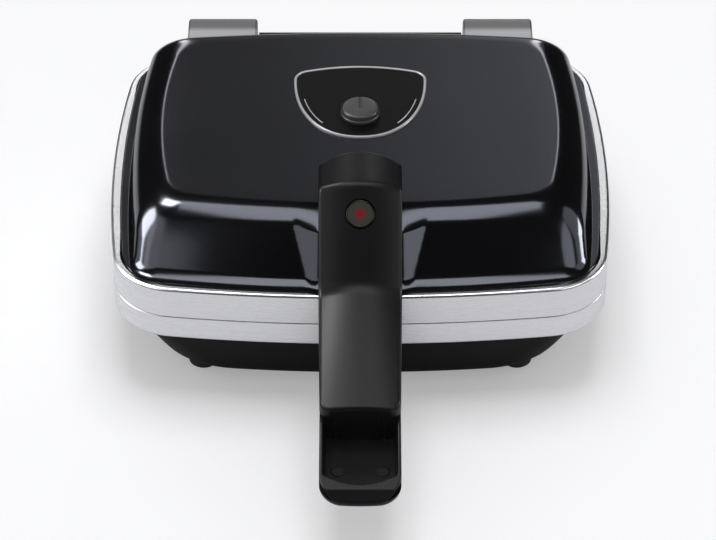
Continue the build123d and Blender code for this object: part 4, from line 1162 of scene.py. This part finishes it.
@dataclass(frozen=True)
class Band:
    """A steel band round the body, with rounded edges and a lip turned in at each edge."""

    name: str
    node: str
    body: Body
    low: float
    high: float
    wall: float = 1.2
    lip: float = 6
    low_radius: float = 1.6
    high_radius: float = 1.6
    notch_radius: float = 16.2
    notch_half: float = 11
    half_x: float = 134
    bulge: float = 8.5
    corner: float = 34
    hinge_x: float = 78
    pivot_y: float = 172
    seam: float = 57
    notched: bool = False
    side_count: int = 90
    corner_count: int = 40
    edge_count: int = 7
    map_radius: float = 120

    def section(self) -> Array:
        """The band's closed cross section: outside, top lip, inside, bottom lip.

        Returns:
            Inset and height of each point.
        """
        quarter = np.linspace(0, math.pi / 2, self.edge_count)
        a, b, wall = self.low_radius, self.high_radius, self.wall
        low = np.column_stack([a - a * np.sin(quarter), self.low + a - a * np.cos(quarter)])
        high = np.column_stack([b - b * np.cos(quarter), self.high - b + b * np.sin(quarter)])
        lip_high = np.array([[self.lip, self.high], [self.lip, self.high - wall]])
        inside_high = np.array([[wall + b, self.high - wall], [wall, self.high - wall - b]])
        inside_low = np.array([[wall, self.low + wall + a], [wall + a, self.low + wall]])
        lip_low = np.array([[self.lip, self.low + wall], [self.lip, self.low]])
        return np.vstack([low, high, lip_high, inside_high, inside_low, lip_low])

    def build(self, finishes: Finishes) -> None:
        """Carries the section round the outline, and maps the brushing along it.

        Args:
            finishes: the materials by name.
        """
        loops = []
        for inset, height in self.section():
            sides = self.half_x - inset, FRONT_Y + inset, REAR_Y - inset
            loop = Barrel(*sides, self.corner - inset, self.bulge).points(self.side_count, self.corner_count)
            loops.append(lifted(loop, height))
        piece = loop_piece(self.name, np.stack(loops, axis=1), CRISP)
        if self.notched:
            cutters = []
            for side in (-1, 1):
                start = np.array([side * self.hinge_x - self.notch_half, self.pivot_y, self.seam])
                end = start + [2 * self.notch_half, 0, 0]
                cutters.append(rod("notch_cut", start, end, self.notch_radius, 96))
            carve(piece, cutters, CRISP)
        self.map_along(piece)
        place(piece, self.body, finishes["steel_band"], "steel_brushed", self.node)

    def map_along(self, piece: Piece) -> None:
        """Writes a map with the angle round the body as length and the height as width.

        Args:
            piece: the band.
        """
        mesh = piece.data
        places = np.zeros(len(mesh.vertices) * 3, np.float32)
        mesh.vertices.foreach_get("co", places)
        places = places.reshape(-1, 3)
        corner = np.zeros(len(mesh.loops), np.int32)
        mesh.loops.foreach_get("vertex_index", corner)
        around = np.arctan2(places[:, 1] - (FRONT_Y + REAR_Y) / 2 * MM, places[:, 0]) * self.map_radius * MM
        coords = np.column_stack([around, places[:, 2]])[corner]
        layer = mesh.uv_layers.new(name="along")
        layer.data.foreach_set("uv", coords.astype(np.float32).ravel())


@dataclass(frozen=True)
class Badge:
    """The shield round the knob: a bright rim, a black plate and two thin arcs, with no words."""

    half_x: float = 36.1
    top_y: float = 107.9
    top_sag: float = 6.4
    corner: float = 6
    foot_y: float = 41.3
    fullness: float = 2.2
    base: float = 102.98
    rim_height: float = 1.35
    rim_width: float = 1.5
    plate_top: float = 103.8
    arc_inset: float = 4.2
    arc_radius: float = 0.28
    arc_flat: float = 0.6
    arc_around: int = 8
    arc_left: tuple[int, int] = (104, 132)
    arc_right: tuple[int, int] = (194, 222)
    top_count: int = 90
    low_count: int = 150
    rim_count: int = 9
    rim_foot: float = 0.35

    def outline(self, inset: float) -> Array:
        """The shield's outline, moved in by an inset along its normals.

        The top is a parabola with a quarter circle at each end. Below it is half of a superellipse:
        the powers of x over its half width and of y over its height add up to one.

        Args:
            inset: the distance inwards.

        Returns:
            Points in the plane, anticlockwise, one row each.
        """
        x = self.half_x * np.cos(np.linspace(0, math.pi, self.top_count)[1:-1])
        top = self.top_y - self.top_sag * (x / self.half_x) ** 2
        top -= edge_drop(self.half_x - np.abs(x), self.corner)
        joint = self.top_y - self.top_sag - self.corner
        turn = np.linspace(math.pi, 2 * math.pi, self.low_count)
        power = 2 / self.fullness
        low_x = self.half_x * np.sign(np.cos(turn)) * np.abs(np.cos(turn)) ** power
        low_y = joint - (joint - self.foot_y) * np.abs(np.sin(turn)) ** power
        loop = np.vstack([np.column_stack([x, top]), np.column_stack([low_x, low_y])])
        return loop - inset * outward_normals(loop)

    def level(self, inset: float, height: float) -> Array:
        """The outline at an inset, lifted to a height."""
        return lifted(self.outline(inset), height)

    def arc(self, name: str, ends: tuple[int, int]) -> Piece:
        """A thin raised line along part of the outline.

        Args:
            name: the line's name.
            ends: the first of the outline's points that it follows, and the one after the last.

        Returns:
            The new piece.
        """
        part = slice(*ends)
        inner = self.level(self.arc_inset, self.plate_top)
        normal = np.pad(outward_normals(inner[:, :2])[part], ((0, 0), (0, 1)))[:, None]
        angle = np.linspace(0, 2 * math.pi, self.arc_around, endpoint=False)[None, :, None]
        across = self.arc_radius * np.cos(angle) * normal
        rise = self.arc_radius * self.arc_flat * np.sin(angle) * np.array([0, 0, 1.0])
        return ring_piece(name, inner[part][:, None] + across + rise)

    def build(self, finishes: Finishes) -> None:
        """Makes the rim, the plate and the arcs.

        Args:
            finishes: the materials by name.
        """
        turn = np.linspace(0, math.pi, self.rim_count)
        insets = self.rim_width / 2 * (1 - np.cos(turn))
        heights = self.base + self.rim_height * (self.rim_foot + (1 - self.rim_foot) * np.sin(turn))
        section = [(0.0, self.base), *zip(insets, heights), (self.rim_width, self.base)]
        rings = np.stack([self.level(inset, height) for inset, height in section], axis=1)
        rim = finishes["badge_silver"]
        place(loop_piece("badge_border", rings, SOFT), Body.LID, rim, "chrome_trim", "badge_rim")
        under, over = (self.level(self.rim_width / 2, height) for height in (self.base, self.plate_top))
        middle = [(under + under.mean(0)) / 2, (over + over.mean(0)) / 2]
        plate = ring_piece("badge_field", np.stack([middle[0], under, over, middle[1]]), SOFT)
        place(plate, Body.LID, finishes["badge_black"], "badge_black", "badge_plate")
        place(self.arc("badge_arc_left", self.arc_left), Body.LID, rim, "chrome_trim")
        place(self.arc("badge_arc_right", self.arc_right), Body.LID, rim, "chrome_trim")


@dataclass(frozen=True)
class Knob:
    """The low round thermostat knob, with a groove from its middle to its rim as a pointer."""

    y: float = 62.5
    around: int = 128
    groove_radius: float = 0.8
    groove_rise: float = 0.2
    groove_start: float = -1
    groove_end: float = 14
    profile: tuple[tuple[float, float], ...] = (
        (10.4, 103.95),
        (10.5, 104.2),
        (10.5, 105.5),
        (10.3, 105.8),
        (10, 105.95),
        (9.9, 107.7),
        (9.75, 108.2),
        (9.4, 108.6),
        (8.8, 108.8),
        (5, 108.8),
        (1, 108.8),
    )

    def build(self, finishes: Finishes) -> None:
        """Turns the profile round the knob's axis and cuts the groove.

        Args:
            finishes: the materials by name.
        """
        angle = np.linspace(0, 2 * math.pi, self.around, endpoint=False)
        profile = np.array(self.profile)
        circle = np.column_stack([np.cos(angle), np.sin(angle)])
        flat = profile[:, 0, None, None] * circle[None]
        height = np.broadcast_to(profile[:, 1, None, None], (*flat.shape[:2], 1))
        rings = np.concatenate([flat + [0, self.y], height], axis=2)
        piece = ring_piece("knob_cap", rings)
        top = profile[-1, 1] + self.groove_rise
        start, end = (np.array([0, self.y + run, top]) for run in (self.groove_start, self.groove_end))
        carve(piece, [rod("groove_cut", start, end, self.groove_radius)])
        place(piece, Body.KNOB, finishes["knob_plastic"], "knob_plastic", "thermostat_knob")


@dataclass(frozen=True)
class TubSkirt:
    """The black tub's outer skin under the bands, wide at the top and rolled under at the bottom."""

    half_x: float = 115.6
    front_y: float = -48.5
    rear_y: float = 147.5
    top: float = 43.1
    bottom: float = 6
    lean: float = 0.194
    corner: float = 14
    foot_corner: float = 46
    bulge: float = 4
    foot_bulge: float = 8
    side_bulge: float = 2
    rear_bulge: float = 4
    ease: float = 1.4
    edge: float = 8
    wall: float = 1
    side_count: int = 60
    corner_count: int = 24
    wall_rings: int = 12
    edge_rings: int = 16
    ring_gap: float = 0.5

    def ring(self, height: float, wall: float) -> Array:
        """The skin's outline at a height: it leans in going down, and rolls in by a circle at the foot.

        Args:
            height: the height.
            wall: how far it is moved in besides.

        Returns:
            Points in space, one row each.
        """
        inset = self.lean * (self.top - height) + float(edge_drop(height - self.bottom, self.edge)) + wall
        share = ((self.top - height) / (self.top - self.bottom)) ** self.ease
        loop = Barrel(
            self.half_x - inset,
            self.front_y + inset,
            self.rear_y - inset,
            self.corner + (self.foot_corner - self.corner) * share,
            self.side_bulge,
            self.bulge + (self.foot_bulge - self.bulge) * share,
            self.rear_bulge,
        )
        return lifted(loop.points(self.side_count, self.corner_count), height)

    def build(self, finishes: Finishes) -> None:
        """Makes the skin as one closed shell.

        Args:
            finishes: the materials by name.
        """
        roll = self.bottom + self.edge * (1 - np.sin(np.linspace(0, math.pi / 2, self.edge_rings)))
        straight = np.linspace(self.top, self.bottom + self.edge + self.ring_gap, self.wall_rings)
        heights = np.concatenate([straight, roll])
        outer = np.stack([self.ring(height, 0) for height in heights])
        inner = np.stack([self.ring(height, self.wall) for height in heights[:-2]])
        piece = loop_piece("tub_skin", np.concatenate([outer, inner[::-1]]))
        place(piece, Body.BASE, finishes["plastic_black"], "plastic_black")


def dress_nodes(finishes: Finishes) -> None:
    """Gives every CAD node that still shows the finish of its slot.

    Args:
        finishes: the materials by name.
    """
    slots = {row["node"]: row["material_slot"] for row in frame["record"]["subparts"]}
    for name, node in frame["nodes"].items():
        if node.hide_render:
            continue
        material = finishes["steel_dark" if name == "lower_handle_screws" else slots[name]]
        for slot in node.material_slots:
            slot.material = material
        log.info("%s keeps its solid, in %s", name, material.name)


# The stage


@dataclass(frozen=True)
class Softbox:
    """A soft rectangular lamp that looks at the cooker from a direction."""

    name: str
    azimuth: float
    elevation: float
    wide: float
    tall: float
    radiance: float
    distance: float = 1.2
    aside: float = 0
    aim_height: float = 0.1
    mirrored_only: bool = False

    def build(self) -> None:
        """Makes the lamp: its sides subtend the stated angles, its power is pi times area times radiance."""
        turn, lift = math.radians(self.azimuth), math.radians(self.elevation)
        away = np.array([math.sin(turn) * math.cos(lift), math.cos(turn) * math.cos(lift), math.sin(lift)])
        data = bpy.data.lights.new(self.name, "AREA")
        data.shape = "RECTANGLE"
        data.size = 2 * self.distance * math.tan(math.radians(self.wide) / 2)
        data.size_y = 2 * self.distance * math.tan(math.radians(self.tall) / 2)
        data.energy = math.pi * data.size * data.size_y * self.radiance
        lamp = bpy.data.objects.new(self.name, data)
        bpy.context.scene.collection.objects.link(lamp)
        lamp.location = np.array([self.aside, 0, self.aim_height]) + away * self.distance
        lamp.rotation_euler = Vector(away).to_track_quat("Z", "Y").to_euler()
        lamp.visible_diffuse = not self.mirrored_only


class Light(Graph):
    """A graph of plain lights, that tells the kinds of rays apart."""

    def __init__(self, tree: bpy.types.NodeTree) -> None:
        """Starts from an emptied tree.

        Args:
            tree: the floor's or the world's tree.
        """
        tree.nodes.clear()
        super().__init__(tree)
        self.rays = self.add("ShaderNodeLightPath").outputs

    def white(self, kind: str, strength: Socket | float) -> Socket:
        """A white Background or Emission of some strength."""
        return self.add(kind, {"Color": (1, 1, 1, 1), "Strength": strength}).outputs[0]

    def mix(self, share: Socket, first: Socket, second: Socket) -> Socket:
        """The first shader where a share is 0 and the second where it is 1."""
        return self.add("ShaderNodeMixShader", dict(enumerate((share, first, second)))).outputs["Shader"]

    def window(self, value: Socket, end: float, fade: float) -> Socket:
        """1 up to an end, then softly 0."""
        return self.ramp(value, end, end + fade, 1, 0)

    def finish(self, kind: str, shader: Socket) -> None:
        """Joins the shader to the graph's output."""
        self.add(kind, {"Surface": shader})


@dataclass(frozen=True)
class Stage:
    """The floor, the plain white surroundings, the lamps and the camera."""

    floor_half: float = 6
    floor_colour: tuple[float, ...] = (0.9, 0.9, 0.92, 1)
    floor_lift: float = 0.3
    pool_inner: float = 0.4
    pool_outer: float = 0.75
    fill: float = 0.45
    dim: float = 0.02
    sweep_half: float = 0.122
    sweep_start: float = -0.0854
    sweep_left: float = 0.14
    sweep_right: float = 0.62
    sweep_top: float = 0.62
    sweep_fade: float = 0.06
    edge_inner: float = 0.135
    edge_outer: float = 0.18
    edge_top: float = 0.6
    edge_fade: float = 0.04
    edge_radiance: float = 4.5
    soft: float = 0.01
    camera_place: tuple[float, float, float] = (0, -1.2559, 1.0454)
    camera_pitch: float = 38.5
    camera_lens: float = 151.14
    camera_sensor: float = 36
    camera_shift_x: float = -0.0031

    def build(self) -> None:
        """Makes the whole stage. Lamps that show only in reflections leave the light on the object plain."""
        self.make_floor()
        self.make_world()
        self.make_camera()
        Softbox("key_left", -8, 88, 14, 40, 3.6, aside=-0.17).build()
        Softbox("key_right", 8, 88, 14, 40, 3.5, aside=0.17).build()
        for mirrored in (
            ("side_left", -85, 32, 21, 26, 14),
            ("side_left_halo", -92, 26, 40, 44, 1.1),
            ("side_right", 80, 11, 14, 16, 12),
            ("side_right_halo", 86, 30, 26, 36, 1),
            ("handle_left", -50, 58, 12, 14, 24),
            ("front_left", -126, 36, 36, 36, 1.4),
            ("front_right", 126, 34, 30, 30, 1.9),
        ):
            Softbox(*mirrored, mirrored_only=True).build()
        bpy.context.scene.view_settings.view_transform = "Standard"

    def make_floor(self) -> None:
        """A wide pale floor that keeps the shadow, is white to the camera and fades in far reflections."""
        half = self.floor_half
        mesh = bpy.data.meshes.new("floor")
        corners = [(-half, -half, 0), (half, -half, 0), (half, half, 0), (-half, half, 0)]
        mesh.from_pydata(corners, [], [(0, 1, 2, 3)])
        floor = bpy.data.objects.new("floor", mesh)
        bpy.context.scene.collection.objects.link(floor)
        material = bpy.data.materials.new("floor_white")
        material.use_nodes = True
        graph = Light(material.node_tree)
        matt = graph.add("ShaderNodeBsdfDiffuse", {"Color": self.floor_colour}).outputs["BSDF"]
        lift = graph.white("ShaderNodeEmission", self.floor_lift)
        lifted_matt = graph.add("ShaderNodeAddShader", {0: matt, 1: lift}).outputs["Shader"]
        seen = graph.mix(graph.rays["Is Camera Ray"], matt, lifted_matt)
        away = graph.distance(graph.add("ShaderNodeTexCoord").outputs["Object"])
        far = graph.ramp(away, self.pool_inner, self.pool_outer, 0, 1)
        hidden = graph.math("MULTIPLY", graph.rays["Is Glossy Ray"], far)
        shader = graph.mix(hidden, seen, graph.white("ShaderNodeEmission", self.dim))
        graph.finish("ShaderNodeOutputMaterial", shader)
        mesh.materials.append(material)

    def make_world(self) -> None:
        """White surroundings for the eye, a plain fill, and a white sweep behind the cooker in reflections.

        The sweep lies within a small angle of straight back and below a height, and darkens to the left.
        A brighter edge on each side draws the line along the lid's crown.
        """
        world = bpy.data.worlds.new("surroundings")
        bpy.context.scene.world = world
        world.use_nodes = True
        graph = Light(world.node_tree)
        ahead = graph.add("ShaderNodeTexCoord").outputs["Generated"]
        split = graph.add("ShaderNodeSeparateXYZ", {"Vector": ahead}).outputs
        azimuth = graph.math("ARCTAN2", split["X"], split["Y"])
        off = graph.math("ABSOLUTE", azimuth)
        below = graph.window(split["Z"], self.sweep_top, self.sweep_fade)
        drift = graph.ramp(azimuth, self.sweep_start, self.sweep_half, self.sweep_left, self.sweep_right)
        sweep = graph.math("MULTIPLY", drift, graph.window(off, self.sweep_half, self.soft))
        rise = graph.ramp(off, self.edge_inner, self.edge_inner + self.soft, 0, self.edge_radiance)
        edge = graph.math("MULTIPLY", rise, graph.window(off, self.edge_outer, self.soft))
        lined = graph.math("MULTIPLY", edge, graph.window(split["Z"], self.edge_top, self.edge_fade))
        mirrored = graph.math("ADD", graph.math("MULTIPLY", sweep, below), lined)
        plain = graph.white("ShaderNodeBackground", self.fill)
        glossy = graph.white("ShaderNodeBackground", graph.math("ADD", mirrored, self.dim))
        white = graph.white("ShaderNodeBackground", 1)
        seen = graph.math("MAXIMUM", graph.rays["Is Camera Ray"], graph.rays["Is Transmission Ray"])
        lit = graph.mix(graph.rays["Is Glossy Ray"], plain, glossy)
        graph.finish("ShaderNodeOutputWorld", graph.mix(seen, lit, white))

    def make_camera(self) -> None:
        """The camera at the photograph's viewing angle."""
        data = bpy.data.cameras.new("camera")
        data.lens, data.sensor_width, data.shift_x = self.camera_lens, self.camera_sensor, self.camera_shift_x
        camera = bpy.data.objects.new("camera", data)
        bpy.context.scene.collection.objects.link(camera)
        camera.location = self.camera_place
        camera.rotation_euler = (math.radians(90 - self.camera_pitch), 0, 0)
        bpy.context.scene.camera = camera


def main() -> None:
    """Builds the cooker piece by piece, then its stage."""
    logging.basicConfig(level=logging.INFO, format="%(name)s: %(message)s")
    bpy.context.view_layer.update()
    finishes = make_finishes()
    for sub in (
        LidCover(),
        UpperHandle(),
        LowerHandle(),
        Band("band_lower", "lower_band", Body.BASE, 43, 56.8, high_radius=0.25),
        Band("band_upper", "upper_band", Body.LID, 57.15, 75, low_radius=0.25, notched=True),
        Badge(),
        Knob(),
        TubSkirt(),
    ):
        sub.build(finishes)
    dress_nodes(finishes)
    Stage().build()


if __name__ == "__main__":
    main()
